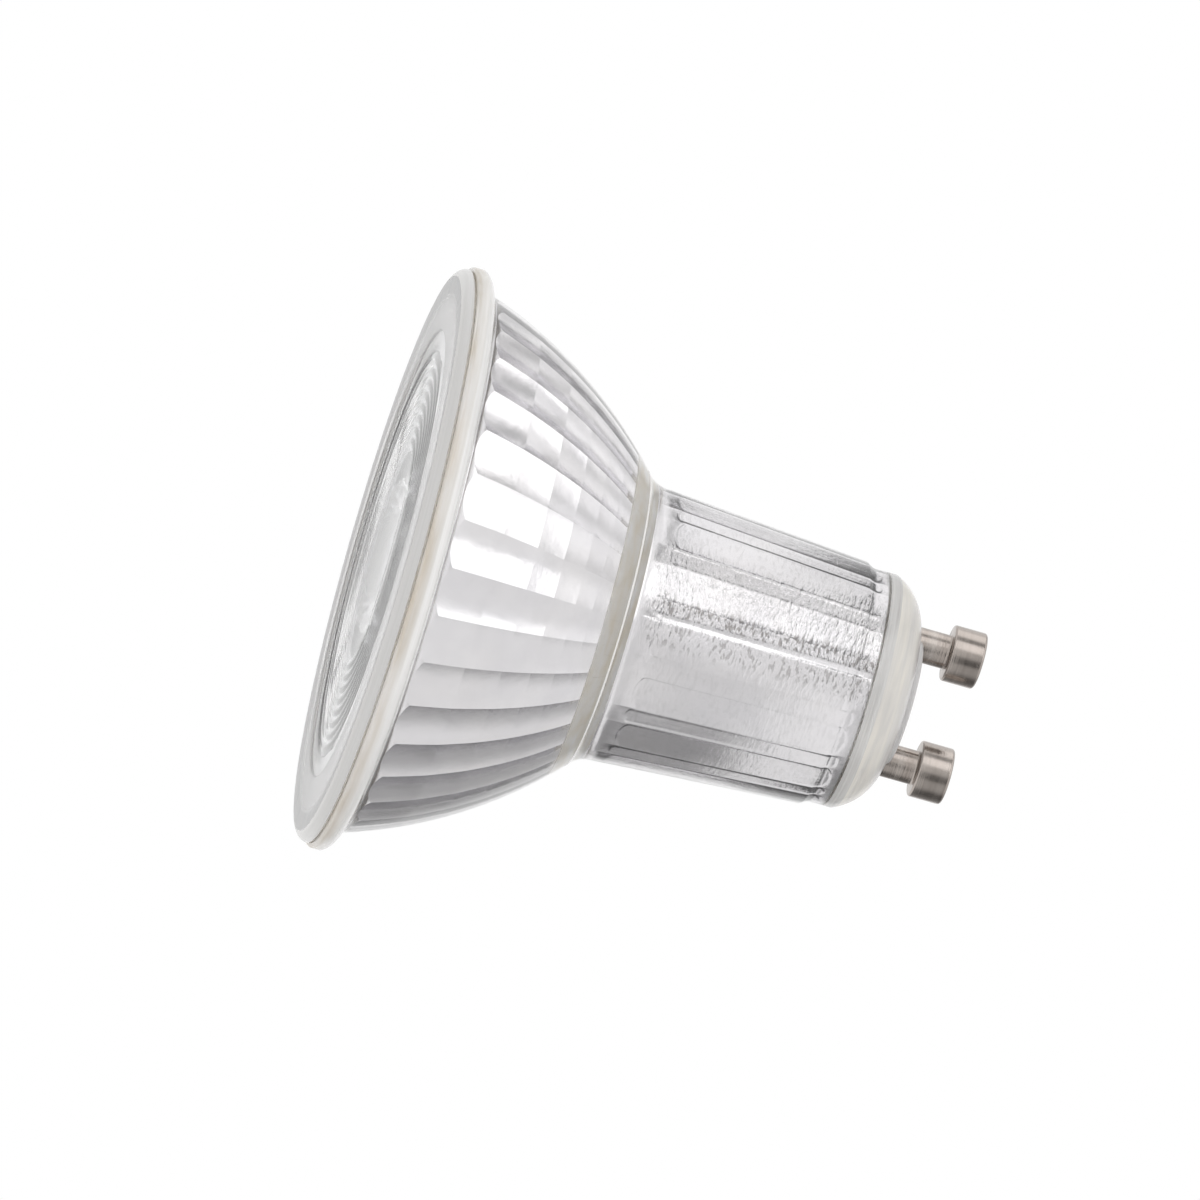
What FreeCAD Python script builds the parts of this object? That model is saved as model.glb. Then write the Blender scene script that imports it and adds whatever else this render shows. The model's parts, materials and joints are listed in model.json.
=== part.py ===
"""GU10 reflector lamp: a pressed glass envelope with a fluted, faceted and silvered inside.

Millimetres and degrees. The origin is the centre of the front plane, +Z runs along the lamp's
axis to the contact pins, and the pins lie on the X axis.
"""
import FreeCAD, Part
import math
import os
import Sketcher

# Driving sizes, each of them set by itself
SIZES = {
    # Glass envelope, outside
    "rim_radius": 25.0,
    "rim_front_round": 0.3,
    "rim_side_height": 0.7,
    "rim_back_round": 0.75,
    "rim_back_bulge": 0.25,
    "rim_flange": 1.7,
    "bowl_height": 17.4,
    "bowl_bulge": 1.39,
    "bowl_end_radius": 12.3,
    "waist_height": 1.95,
    "waist_hollow": 0.18,
    "neck_shoulder": 0.6,
    "neck_height": 17.4,
    "neck_draft": 1.24,
    "cap_step_height": 0.7,
    "cap_step": 0.38,
    "cap_height": 2.0,
    "end_round_height": 2.9,
    "end_round_width": 3.2,
    "end_bulge": 0.5,
    "boss_setback": 1.38,
    "boss_height": 0.7,
    "boss_round": 0.3,
    # Glass envelope, inside
    "mouth_wall": 2.6,
    "bowl_wall": 1.2,
    "wall_allowance": 0.06,
    "flute_count": 34,
    "flute_depth": 0.32,
    "flute_phase": 3.9,
    "flute_tip_height": 1.1,
    "flute_tip_slope": 0.88,
    "flute_shoulder_height": 3.35,
    "facet_rows": 5,
    "facet_shrink": 0.8,
    "waist_band": 2.45,
    "waist_depth": 3.2,
    "ledge_step": 0.8,
    "throat_wall": 1.4,
    "neck_wall": 1.15,
    "neck_pairs": 14,
    "neck_wide_share": 0.667,
    "neck_flute_depth": 0.1,
    "neck_phase": -1.5,
    "neck_end_taper": 0.5,
    "neck_end_height": 0.8,
    # Front lens and its adhesive
    "lens_thickness": 0.95,
    "lens_edge_round": 0.8,
    "lens_edge_bulge": 0.2,
    "lens_recess": 0.3,
    "lens_border": 5.4,
    "lens_ring_width": 1.7,
    "lens_ring_step": 0.12,
    "lens_step_slope": 0.15,
    "lens_dish_radius": 8.6,
    "lens_dish": 0.3,
    "spigot_clearance": 0.2,
    "spigot_depth": 0.75,
    "collimator_radius": 8.9,
    "collimator_bulge": 0.8,
    "collimator_tip_radius": 4.3,
    "led_recess_radius": 3.3,
    "led_recess_depth": 3.0,
    "led_dome": 0.6,
    "adhesive_thickness": 0.15,
    "adhesive_setback": 0.3,
    # Light engine and heat sink
    "led_board_thickness": 1.0,
    "led_board_setback": 0.2,
    "led_size": 1.6,
    "led_height": 0.6,
    "led_spacing": 2.2,
    "pad_thickness": 0.15,
    "sink_flange_thickness": 1.2,
    "sink_flange_clearance": 0.9,
    "sink_seat_depth": 0.45,
    "sink_cup_clearance": 1.0,
    "sink_cup_wall": 0.8,
    "sink_cup_height": 11.0,
    "waist_ring_height": 2.2,
    "screw_head_radius": 1.7,
    "screw_head_height": 1.1,
    "screw_socket_radius": 0.7,
    "screw_socket_depth": 0.5,
    "screw_radius": 1.0,
    "screw_clearance": 0.1,
    "screw_lens_gap": 1.3,
    # Driver
    "sleeve_clearance": 0.15,
    "sleeve_wall": 0.5,
    "sleeve_height": 11.6,
    "driver_board_thickness": 1.0,
    "driver_board_gap": 1.65,
    "driver_board_clearance": 0.15,
    "capacitor_radius": 2.75,
    "capacitor_length": 9.0,
    "capacitor_share": 0.727,
    "capacitor_groove_depth": 0.25,
    "capacitor_groove_width": 0.6,
    "film_width": 5.6,
    "film_depth": 3.0,
    "film_height": 6.0,
    "film_share": 0.249,
    "inductor_radius": 2.8,
    "inductor_core_radius": 1.3,
    "inductor_height": 4.6,
    "inductor_flange": 0.7,
    "inductor_winding_gap": 0.3,
    "inductor_share": 0.22,
    "chip_width": 4.9,
    "chip_depth": 1.5,
    "chip_height": 3.9,
    "chip_share": 0.488,
    "bridge_width": 4.6,
    "bridge_depth": 1.6,
    "bridge_height": 2.6,
    "bridge_share": 0.679,
    "fuse_radius": 1.1,
    "fuse_length": 6.0,
    "fuse_waist": 0.25,
    "fuse_end": 1.2,
    "fuse_share": 0.861,
    "small_part_width": 1.25,
    "small_part_depth": 0.6,
    "small_part_height": 2.0,
    "small_part_offset": 4.9,
    "small_part_spacing": 2.9,
    "small_part_share": 0.392,
    # Contact pins and base
    "pin_spacing": 10.0,
    "pin_radius": 1.45,
    "pin_head_radius": 2.4,
    "pin_head_height": 2.85,
    "pin_head_chamfer": 0.2,
    "pin_reach": 5.9,
    "pin_hole_clearance": 0.05,
    "pin_rivet_radius": 1.95,
    "pin_rivet_height": 0.5,
    "washer_radius": 2.7,
    "washer_thickness": 0.5,
    "potting_height": 1.5,
    "potting_clearance": 0.4,
    "potting_washer_gap": 0.1,
    "mains_lead_radius": 0.55,
    "mains_lead_length": 5.2,
    "led_lead_radius": 0.4,
    "led_lead_overlap": 3.2,
    "led_lead_stick_out": 0.3,
    "led_lead_edge": 0.6,
    "lead_hole_clearance": 0.15,
    "lead_gap": 0.05,
}

# Places and sizes that follow from the driving sizes
LAYOUT = {
    # Heights along the axis, from the front plane
    "glass_front": "=Sizes.lens_thickness + Sizes.adhesive_thickness",
    "rim_side_start": "=glass_front + Sizes.rim_front_round",
    "rim_side_end": "=rim_side_start + Sizes.rim_side_height",
    "bowl_start": "=rim_side_end + Sizes.rim_back_round",
    "bowl_end": "=bowl_start + Sizes.bowl_height",
    "neck_start": "=bowl_end + Sizes.waist_height",
    "neck_end": "=neck_start + Sizes.neck_height",
    "cap_start": "=neck_end + Sizes.cap_step_height",
    "cap_end": "=cap_start + Sizes.cap_height",
    "end_face": "=cap_end + Sizes.end_round_height",
    "boss_side_end": "=end_face + Sizes.boss_height - Sizes.boss_round",
    "boss_face": "=end_face + Sizes.boss_height",
    "waist_start": "=bowl_end - Sizes.waist_band",
    "throat": "=waist_start + Sizes.waist_depth",
    "panel_end": "=cap_end - Sizes.neck_end_height",
    "spigot_end": "=Sizes.lens_thickness + Sizes.spigot_depth",
    "sink_back": "=waist_start + Sizes.sink_seat_depth",
    "sink_front": "=sink_back - Sizes.sink_flange_thickness",
    "pad_front": "=sink_front - Sizes.pad_thickness",
    "led_board_front": "=pad_front - Sizes.led_board_thickness",
    "led_recess_top": "=led_board_front - Sizes.led_recess_depth",
    "led_dome_tip": "=led_recess_top + Sizes.led_dome",
    "waist_ring_end": "=sink_back + Sizes.waist_ring_height",
    "cup_end": "=sink_back + Sizes.sink_cup_height",
    "sleeve_end": "=sink_back + Sizes.sleeve_height",
    "driver_top": "=sink_back + Sizes.driver_board_gap",
    "potting_top": "=cap_end - Sizes.potting_height",
    "driver_length": "=potting_top - driver_top",
    "washer_top": "=cap_end - Sizes.washer_thickness",
    "rivet_top": "=washer_top - Sizes.pin_rivet_height",
    "pin_tip": "=end_face + Sizes.pin_reach",
    "pin_shoulder": "=pin_tip - Sizes.pin_head_height",
    "pin_tip_side": "=pin_tip - Sizes.pin_head_chamfer",
    "pin_shoulder_side": "=pin_shoulder + Sizes.pin_head_chamfer",
    # Radii
    "glass_front_radius": "=Sizes.rim_radius - Sizes.rim_front_round",
    "bowl_mouth_radius": "=Sizes.rim_radius - Sizes.rim_flange",
    "rim_back_radius": "=bowl_mouth_radius + Sizes.rim_back_bulge",
    "neck_radius": "=Sizes.bowl_end_radius - Sizes.neck_shoulder",
    "neck_end_radius": "=neck_radius - Sizes.neck_draft",
    "cap_radius": "=neck_end_radius - Sizes.cap_step",
    "end_face_radius": "=cap_radius - Sizes.end_round_width",
    "boss_radius": "=end_face_radius - Sizes.boss_setback",
    "boss_face_radius": "=boss_radius - Sizes.boss_round",
    "mouth_radius": "=Sizes.rim_radius - Sizes.mouth_wall",
    "limit_mouth_radius": "=bowl_mouth_radius - Sizes.bowl_wall + Sizes.wall_allowance",
    "limit_end_radius": "=Sizes.bowl_end_radius - Sizes.bowl_wall + Sizes.wall_allowance",
    "ledge_radius": "=Sizes.bowl_end_radius + Sizes.ledge_step",
    "throat_radius": "=neck_radius - Sizes.throat_wall",
    "waist_slope": "=(ledge_radius - throat_radius) / Sizes.waist_depth",
    "ring_top_radius": "=ledge_radius - waist_slope * Sizes.sink_seat_depth",
    "ring_end_radius": "=ring_top_radius - waist_slope * Sizes.waist_ring_height",
    "neck_taper": "=Sizes.neck_draft / Sizes.neck_height",
    "cup_radius": "=throat_radius - Sizes.sink_cup_clearance",
    "cup_end_radius": "=cup_radius - neck_taper * Sizes.sink_cup_height",
    "cup_inner_radius": "=cup_radius - Sizes.sink_cup_wall",
    "cup_end_inner_radius": "=cup_end_radius - Sizes.sink_cup_wall",
    "cup_ring_radius": "=cup_radius - neck_taper * Sizes.waist_ring_height",
    "sleeve_radius": "=cup_inner_radius - Sizes.sleeve_clearance",
    "sleeve_end_radius": "=sleeve_radius - neck_taper * Sizes.sleeve_height",
    "sleeve_inner_radius": "=sleeve_radius - Sizes.sleeve_wall",
    "sleeve_end_inner_radius": "=sleeve_end_radius - Sizes.sleeve_wall",
    "sink_flange_radius": "=ledge_radius - Sizes.sink_flange_clearance",
    "led_board_radius": "=sink_flange_radius - Sizes.led_board_setback",
    "screw_offset": "=Sizes.collimator_tip_radius + Sizes.screw_lens_gap + Sizes.screw_head_radius",
    "cavity_end_radius": "=cap_radius - Sizes.neck_wall - Sizes.neck_flute_depth",
    "potting_radius": "=cavity_end_radius - Sizes.potting_clearance",
    "spigot_radius": "=mouth_radius - Sizes.spigot_clearance",
    "lens_radius": "=glass_front_radius",
    "lens_flat_radius": "=lens_radius - Sizes.lens_edge_round",
    "lens_recess_radius": "=lens_radius - Sizes.lens_border",
    "lens_recess_foot": "=lens_recess_radius - Sizes.lens_step_slope",
    "lens_ring_radius": "=lens_recess_radius - Sizes.lens_ring_width",
    "lens_ring_foot": "=lens_ring_radius - Sizes.lens_step_slope",
    "lens_ring_level": "=Sizes.lens_recess - Sizes.lens_ring_step",
    "lens_dish_level": "=Sizes.lens_recess + Sizes.lens_dish",
    "lens_dish_chord": "=sqrt(pow(Sizes.lens_dish_radius; 2) + pow(Sizes.lens_dish; 2))",
    "lens_dish_sphere": "=pow(lens_dish_chord; 2) / (2 * Sizes.lens_dish)",
    "lens_dish_bulge": "=lens_dish_sphere - sqrt(pow(lens_dish_sphere; 2) - pow(lens_dish_chord; 2) / 4)",
    "led_dome_chord": "=sqrt(pow(Sizes.led_recess_radius; 2) + pow(Sizes.led_dome; 2))",
    "led_dome_sphere": "=pow(led_dome_chord; 2) / (2 * Sizes.led_dome)",
    "led_dome_bulge": "=led_dome_sphere - sqrt(pow(led_dome_sphere; 2) - pow(led_dome_chord; 2) / 4)",
    "pin_hole_radius": "=Sizes.pin_radius + Sizes.pin_hole_clearance",
    "pin_head_face_radius": "=Sizes.pin_head_radius - Sizes.pin_head_chamfer",
    "pin_offset": "=Sizes.pin_spacing / 2",
    "adhesive_outer_radius": "=glass_front_radius - Sizes.adhesive_setback",
    # Driver board faces, measured across the board from the lamp's axis
    "driver_face": "=Sizes.mains_lead_radius + Sizes.lead_gap",
    "driver_back": "=driver_face + Sizes.driver_board_thickness",
    "driver_room": "=sqrt(pow(sleeve_end_inner_radius; 2) - pow(driver_back; 2))",
    "driver_half_width": "=driver_room - Sizes.driver_board_clearance",
    "led_lead_offset": "=driver_half_width - Sizes.led_lead_edge",
    "led_lead_across": "=driver_face - Sizes.led_lead_radius - Sizes.lead_gap",
    "led_lead_start": "=led_board_front - Sizes.led_lead_stick_out",
    "led_lead_end": "=driver_top + Sizes.led_lead_overlap",
    "lead_hole_radius": "=Sizes.led_lead_radius + Sizes.lead_hole_clearance",
}

doc = FreeCAD.newDocument("reflector_lamp")
sizes = doc.addObject("Spreadsheet::Sheet", "Sizes")
layout = doc.addObject("Spreadsheet::Sheet", "Layout")


def fill(sheet, entries):
    """Write one named row for each entry."""
    for row, (name, content) in enumerate(entries.items(), start=1):
        sheet.set("A" + str(row), name)
        sheet.set("B" + str(row), str(content))
        sheet.setAlias("B" + str(row), name)


fill(sizes, SIZES)
fill(layout, LAYOUT)
doc.recompute()


def ref(name):
    """The cell that a name stands for, as an expression."""
    if name in SIZES:
        return "Sizes." + name
    return "Layout." + name


def value(name):
    """The number in the cell that a name stands for."""
    if name in SIZES:
        return float(sizes.get(name))
    return float(layout.get(name))


# Turned pieces: a section in the XZ plane, revolved about the lamp's axis
AXIS = "axis"
FRONT = "front plane"


def corner_point(corner):
    """A corner's first place in the sketch."""
    across = 0.0 if corner[0] == AXIS else value(corner[0])
    along = 0.0 if corner[1] == FRONT else value(corner[1])
    return FreeCAD.Vector(across, along, 0)


def pin_corner(sketch, edge, end, corner):
    """Tie one end of an edge to the corner's radius and height."""
    if corner[0] == AXIS:
        sketch.addConstraint(Sketcher.Constraint("PointOnObject", edge, end, -2))
    else:
        place = Sketcher.Constraint("DistanceX", -1, 1, edge, end, value(corner[0]))
        sketch.setExpression("Constraints[%d]" % sketch.addConstraint(place), ref(corner[0]))
    if corner[1] == FRONT:
        sketch.addConstraint(Sketcher.Constraint("PointOnObject", edge, end, -1))
    else:
        place = Sketcher.Constraint("DistanceY", -1, 1, edge, end, value(corner[1]))
        sketch.setExpression("Constraints[%d]" % sketch.addConstraint(place), ref(corner[1]))


def bulge_radius_expression(first, second, bulge):
    """The radius of an arc between two corners that stands out by its bulge."""
    spans = []
    for side in (0, 1):
        names = [corner[side] for corner in (first, second)]
        terms = ["0" if name in (AXIS, FRONT) else ref(name) for name in names]
        spans.append("pow(%s - %s; 2)" % tuple(terms))
    return "(%s) / (8 * %s) + %s / 2" % (" + ".join(spans), ref(bulge), ref(bulge))


def turned(label, outline):
    """Revolve a closed outline, given round the section with the material on its left.

    A corner is (radius, height), with the names of two sizes. A third name is the bulge of the
    edge that follows it, and a minus sign before that name makes the edge hollow.
    """
    body = doc.addObject("PartDesign::Body", label)
    plane = [item for item in body.Origin.OriginFeatures if item.Role == "XZ_Plane"][0]
    sketch = body.newObject("Sketcher::SketchObject", label + "_section")
    sketch.AttachmentSupport = [(plane, "")]
    sketch.MapMode = "FlatFace"
    starts, ends = [], []
    for index, corner in enumerate(outline):
        following = outline[(index + 1) % len(outline)]
        first, second = corner_point(corner), corner_point(following)
        if len(corner) == 2:
            edge = sketch.addGeometry(Part.LineSegment(first, second))
            starts.append((edge, 1))
            ends.append((edge, 2))
            continue
        hollow = corner[2].startswith("-")
        bulge = corner[2].lstrip("-")
        travel = (second - first).normalize()
        outward = FreeCAD.Vector(travel.y, -travel.x, 0) * (-value(bulge) if hollow else value(bulge))
        middle = (first + second) * 0.5 + outward
        edge = sketch.addGeometry(Part.Arc(first, middle, second))
        starts.append((edge, 2 if hollow else 1))
        ends.append((edge, 1 if hollow else 2))
        radius = Sketcher.Constraint("Radius", edge, sketch.Geometry[edge].Radius)
        expression = bulge_radius_expression(corner, following, bulge)
        sketch.setExpression("Constraints[%d]" % sketch.addConstraint(radius), expression)
    for index, corner in enumerate(outline):
        joined = starts[(index + 1) % len(outline)]
        sketch.addConstraint(Sketcher.Constraint("Coincident", *ends[index], *joined))
        pin_corner(sketch, *starts[index], corner)
    turn = body.newObject("PartDesign::Revolution", label + "_turn")
    turn.Profile = sketch
    turn.ReferenceAxis = (sketch, ["V_Axis"])
    turn.Angle = 360
    return body


# Plain solids and the operations on them
UP = FreeCAD.Rotation()
ALONG_X = FreeCAD.Rotation(FreeCAD.Vector(0, 1, 0), 90)
OUT_OF_BOARD = FreeCAD.Rotation(FreeCAD.Vector(1, 0, 0), 90)


def put(item, place, turn=UP):
    """Place an object by three expressions."""
    item.Placement = FreeCAD.Placement(FreeCAD.Vector(), turn)
    for axis, expression in zip("xyz", place):
        item.setExpression("Placement.Base." + axis, expression)
    return item


def rod(label, radius, length, place, turn=UP):
    """A cylinder that starts at its place."""
    item = doc.addObject("Part::Cylinder", label)
    item.setExpression("Radius", radius)
    item.setExpression("Height", length)
    return put(item, place, turn)


def block(label, dimensions, place):
    """A box that starts at its place."""
    item = doc.addObject("Part::Box", label)
    for side, expression in zip(("Length", "Width", "Height"), dimensions):
        item.setExpression(side, expression)
    return put(item, place)


def cut(label, base, tools):
    """Take tools away from a base."""
    item = doc.addObject("Part::Cut", label)
    item.Base = base
    item.Tool = fuse(label + "_tools", tools) if len(tools) > 1 else tools[0]
    return item


def fuse(label, members):
    """Join members to one solid."""
    item = doc.addObject("Part::MultiFuse", label)
    item.Shapes = members
    return item


def group(label, members):
    """Keep separate solids together under one name."""
    item = doc.addObject("Part::Compound", label)
    item.Links = members
    return item


def negative(expression):
    """The same expression with its sign changed."""
    return "-(" + expression + ")"


# What comes in pairs, to the two sides of the lamp's axis
PIN_PLACES = (("live", "Layout.pin_offset"), ("neutral", negative("Layout.pin_offset")))
LED_LEAD_PLACES = (
    ("positive", "Layout.led_lead_offset"),
    ("negative", negative("Layout.led_lead_offset")),
)
SCREW_PLACES = (("front", "Layout.screw_offset"), ("rear", negative("Layout.screw_offset")))


# Glass envelope: the fluted void is lofted through rings of arcs that bulge towards the axis
def scalloped_ring(cusp_radius, height, depth, spans, phase):
    """A closed ring of arcs: its cusps lie on a circle, and each arc bulges inwards."""
    edges = []
    angle = math.radians(phase)
    for span in spans:
        middle = angle + math.radians(span) / 2
        far = angle + math.radians(span)
        sag = cusp_radius * math.cos(math.radians(span) / 2) - depth
        points = [
            FreeCAD.Vector(reach * math.cos(turn), reach * math.sin(turn), height)
            for reach, turn in ((cusp_radius, angle), (sag, middle), (cusp_radius, far))
        ]
        edges.append(Part.Arc(*points).toShape())
        angle = far
    return Part.Wire(Part.__sortEdges__(edges))


def bowl_outside(height):
    """The outer radius of the bowl at a height, from its arc."""
    start = FreeCAD.Vector(value("bowl_mouth_radius"), value("bowl_start"), 0)
    end = FreeCAD.Vector(value("bowl_end_radius"), value("bowl_end"), 0)
    chord = end - start
    bulge = value("bowl_bulge")
    radius = chord.Length ** 2 / (8 * bulge) + bulge / 2
    outward = FreeCAD.Vector(chord.y, -chord.x, 0).normalize()
    centre = (start + end) * 0.5 - outward * (radius - bulge)
    return centre.x + math.sqrt(radius ** 2 - (height - centre.y) ** 2)


def bowl_void():
    """The bowl's inside: flutes with rounded tips, broken lengthwise into rows of facets."""
    count = int(round(value("flute_count")))
    spans = [360.0 / count] * count
    depth = value("flute_depth")
    mouth_cusp = bowl_outside(value("bowl_start")) - value("bowl_wall")
    first_row = value("bowl_start") + value("flute_tip_height")
    heights = [first_row, first_row + value("flute_shoulder_height")]
    rows = int(round(value("facet_rows")))
    shrink = value("facet_shrink")
    steps = [shrink ** row for row in range(rows)]
    length = value("waist_start") - heights[-1]
    for step in steps:
        heights.append(heights[-1] + length * step / sum(steps))
    cusps = [bowl_outside(height) - value("bowl_wall") for height in heights]
    tip_cusp = cusps[0] + value("flute_tip_slope") * value("flute_tip_height")
    rings = [scalloped_ring(tip_cusp, value("bowl_start"), depth, spans, value("flute_phase"))]
    for height, cusp in zip(heights, cusps):
        scaled = depth * cusp / mouth_cusp
        rings.append(scalloped_ring(cusp, height, scaled, spans, value("flute_phase")))
    return Part.makeLoft(rings, True, True)


def neck_void():
    """The neck's inside: wide and narrow panels in turn, which end in a short taper."""
    pairs = int(round(value("neck_pairs")))
    pitch = 360.0 / pairs
    wide = pitch * value("neck_wide_share")
    spans = [pitch - wide, wide] * pairs
    top = value("throat")
    bottom = value("panel_end")
    taper = value("neck_taper")
    wall = value("neck_wall")
    radius_top = value("neck_radius") - wall - taper * (top - value("neck_start"))
    radius_bottom = value("neck_end_radius") - wall - taper * (bottom - value("neck_end"))
    floor = value("cap_end")
    depth = value("neck_flute_depth")
    rings = [
        scalloped_ring(radius_top, top, depth, spans, value("neck_phase")),
        scalloped_ring(radius_bottom, bottom, depth, spans, value("neck_phase")),
        scalloped_ring(radius_bottom - value("neck_end_taper"), floor, depth, spans, value("neck_phase")),
    ]
    return Part.makeLoft(rings, True, True)


def glass_envelope():
    """The pressed glass: rim, bowl, waist, neck and pin base in one piece."""
    blank = turned("glass_blank", [
        (AXIS, "glass_front"),
        ("glass_front_radius", "glass_front"),
        ("rim_radius", "rim_side_start"),
        ("rim_radius", "rim_side_end", "rim_back_bulge"),
        ("rim_back_radius", "bowl_start"),
        ("bowl_mouth_radius", "bowl_start", "bowl_bulge"),
        ("bowl_end_radius", "bowl_end", "-waist_hollow"),
        ("neck_radius", "neck_start"),
        ("neck_end_radius", "neck_end"),
        ("cap_radius", "cap_start"),
        ("cap_radius", "cap_end", "end_bulge"),
        ("end_face_radius", "end_face"),
        ("boss_radius", "end_face"),
        ("boss_radius", "boss_side_end"),
        ("boss_face_radius", "boss_face"),
        (AXIS, "boss_face"),
    ])
    mouth = turned("mouth_void", [
        (AXIS, "lens_thickness"),
        ("mouth_radius", "lens_thickness"),
        ("mouth_radius", "bowl_start"),
        (AXIS, "bowl_start"),
    ])
    limit = turned("plain_bowl_wall", [
        (AXIS, "bowl_start"),
        ("limit_mouth_radius", "bowl_start", "bowl_bulge"),
        ("limit_end_radius", "bowl_end"),
        (AXIS, "bowl_end"),
    ])
    waist = turned("waist_void", [
        (AXIS, "waist_start"),
        ("ledge_radius", "waist_start"),
        ("throat_radius", "throat"),
        (AXIS, "throat"),
    ])
    flutes = doc.addObject("Part::Feature", "fluted_bowl_void")
    flutes.Shape = bowl_void()
    panels = doc.addObject("Part::Feature", "panelled_neck_void")
    panels.Shape = neck_void()
    bowl = doc.addObject("Part::Common", "bowl_inside")
    bowl.Base = flutes
    bowl.Tool = limit
    holes = [
        rod("pin_hole_" + side, "Layout.pin_hole_radius", "Layout.boss_face - Layout.washer_top",
            (offset, "0", "Layout.washer_top"))
        for side, offset in PIN_PLACES
    ]
    return cut("glass_body", blank, [mouth, bowl, waist, panels] + holes)


# Front lens: a cover plate, a step that locates it in the glass, and a collimator in one piece
def front_lens():
    """The clear lens, whose collimator stands on the light board round the light chips."""
    return turned("front_lens", [
        (AXIS, "lens_dish_level", "-lens_dish_bulge"),
        ("lens_dish_radius", "lens_recess"),
        ("lens_ring_foot", "lens_recess"),
        ("lens_ring_radius", "lens_ring_level"),
        ("lens_recess_foot", "lens_ring_level"),
        ("lens_recess_radius", FRONT),
        ("lens_flat_radius", FRONT, "lens_edge_bulge"),
        ("lens_radius", "lens_thickness"),
        ("spigot_radius", "lens_thickness"),
        ("spigot_radius", "spigot_end"),
        ("collimator_radius", "spigot_end", "collimator_bulge"),
        ("collimator_tip_radius", "led_board_front"),
        ("led_recess_radius", "led_board_front"),
        ("led_recess_radius", "led_recess_top", "led_dome_bulge"),
        (AXIS, "led_dome_tip"),
    ])


def lens_adhesive():
    """The thin ring that bonds the lens to the rim."""
    return turned("lens_adhesive", [
        ("mouth_radius", "lens_thickness"),
        ("adhesive_outer_radius", "lens_thickness"),
        ("adhesive_outer_radius", "glass_front"),
        ("mouth_radius", "glass_front"),
    ])


# Light engine: chips on a round metal-core board, a thermal pad and the heat sink
def stack_holes(label, start, thickness, screw_radius):
    """The holes for the two leads and the two screws through one layer of the stack."""
    holes = []
    for side, offset in LED_LEAD_PLACES:
        place = (offset, "Layout.led_lead_across", start)
        holes.append(rod(label + "_lead_hole_" + side, "Layout.lead_hole_radius", thickness, place))
    for side, offset in SCREW_PLACES:
        place = ("0", offset, start)
        holes.append(rod(label + "_screw_hole_" + side, screw_radius, thickness, place))
    return holes


def stack_disc(label, start, thickness):
    """A round layer of the stack, drilled for the leads and the screws."""
    disc = rod(label + "_disc", "Layout.led_board_radius", thickness, ("0", "0", start))
    clear = "Sizes.screw_radius + Sizes.screw_clearance"
    return cut(label, disc, stack_holes(label, start, thickness, clear))


def led_chips():
    """Four light packages in a square, inside the collimator's recess."""
    chips = []
    for index, (across, over) in enumerate(((1, 1), (-1, 1), (-1, -1), (1, -1))):
        centre = ["%d * Sizes.led_spacing / 2 - Sizes.led_size / 2" % side for side in (across, over)]
        place = (centre[0], centre[1], "Layout.led_board_front - Sizes.led_height")
        sides = ("Sizes.led_size", "Sizes.led_size", "Sizes.led_height")
        chips.append(block("led_chip_%d" % (index + 1), sides, place))
    return group("led_chips", chips)


def heat_sink():
    """A pressed aluminium hat: its flange carries the light board and its cup lines the neck."""
    hat = turned("heat_sink_hat", [
        (AXIS, "sink_front"),
        ("sink_flange_radius", "sink_front"),
        ("sink_flange_radius", "sink_back"),
        ("cup_radius", "sink_back"),
        ("cup_end_radius", "cup_end"),
        ("cup_end_inner_radius", "cup_end"),
        ("cup_inner_radius", "sink_back"),
        (AXIS, "sink_back"),
    ])
    thickness = "Sizes.sink_flange_thickness"
    return cut("heat_sink", hat, stack_holes("heat_sink", "Layout.sink_front", thickness,
                                             "Sizes.screw_radius"))


def waist_adhesive():
    """The ring of adhesive that bonds the heat sink to the waist of the glass."""
    return turned("waist_adhesive", [
        ("cup_radius", "sink_back"),
        ("ring_top_radius", "sink_back"),
        ("ring_end_radius", "waist_ring_end"),
        ("cup_ring_radius", "waist_ring_end"),
    ])


def board_screws():
    """Two pan-head screws from the light board into the heat sink's flange."""
    screws = []
    head_start = "Layout.led_board_front - Sizes.screw_head_height"
    for side, offset in SCREW_PLACES:
        head = rod("screw_head_" + side, "Sizes.screw_head_radius", "Sizes.screw_head_height",
                   ("0", offset, head_start))
        shank = rod("screw_shank_" + side, "Sizes.screw_radius",
                    "Layout.sink_back - Layout.led_board_front", ("0", offset, "Layout.led_board_front"))
        socket = rod("screw_socket_" + side, "Sizes.screw_socket_radius", "Sizes.screw_socket_depth",
                     ("0", offset, head_start))
        screws.append(cut("screw_" + side, fuse("screw_blank_" + side, [head, shank]), [socket]))
    return group("board_screws", screws)


# Driver: a board that stands lengthwise in the neck, inside an insulating sleeve
def driver_sleeve():
    """The thin insulating tube between the driver and the heat sink's cup."""
    return turned("driver_sleeve", [
        ("sleeve_inner_radius", "sink_back"),
        ("sleeve_radius", "sink_back"),
        ("sleeve_end_radius", "sleeve_end"),
        ("sleeve_end_inner_radius", "sleeve_end"),
    ])


def driver_board():
    """The driver's circuit board, which stands on the potting in the base."""
    sides = ("2 * Layout.driver_half_width", "Sizes.driver_board_thickness", "Layout.driver_length")
    place = (negative("Layout.driver_half_width"), "Layout.driver_face", "Layout.driver_top")
    return block("driver_board", sides, place)


def along_board(share):
    """A height on the board, as a share of its length from its upper end."""
    return "Layout.driver_top + " + share + " * Layout.driver_length"


def board_block(label, size, centre, face, across="0"):
    """A box-shaped part on the front or the back face of the board, centred on its place."""
    width, depth, height = ["Sizes.%s_%s" % (size, side) for side in ("width", "depth", "height")]
    over = "Layout.driver_back" if face == "back" else "Layout.driver_face - " + depth
    place = (across + " - " + width + " / 2", over, centre + " - " + height + " / 2")
    return block(label, (width, depth, height), place)


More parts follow.
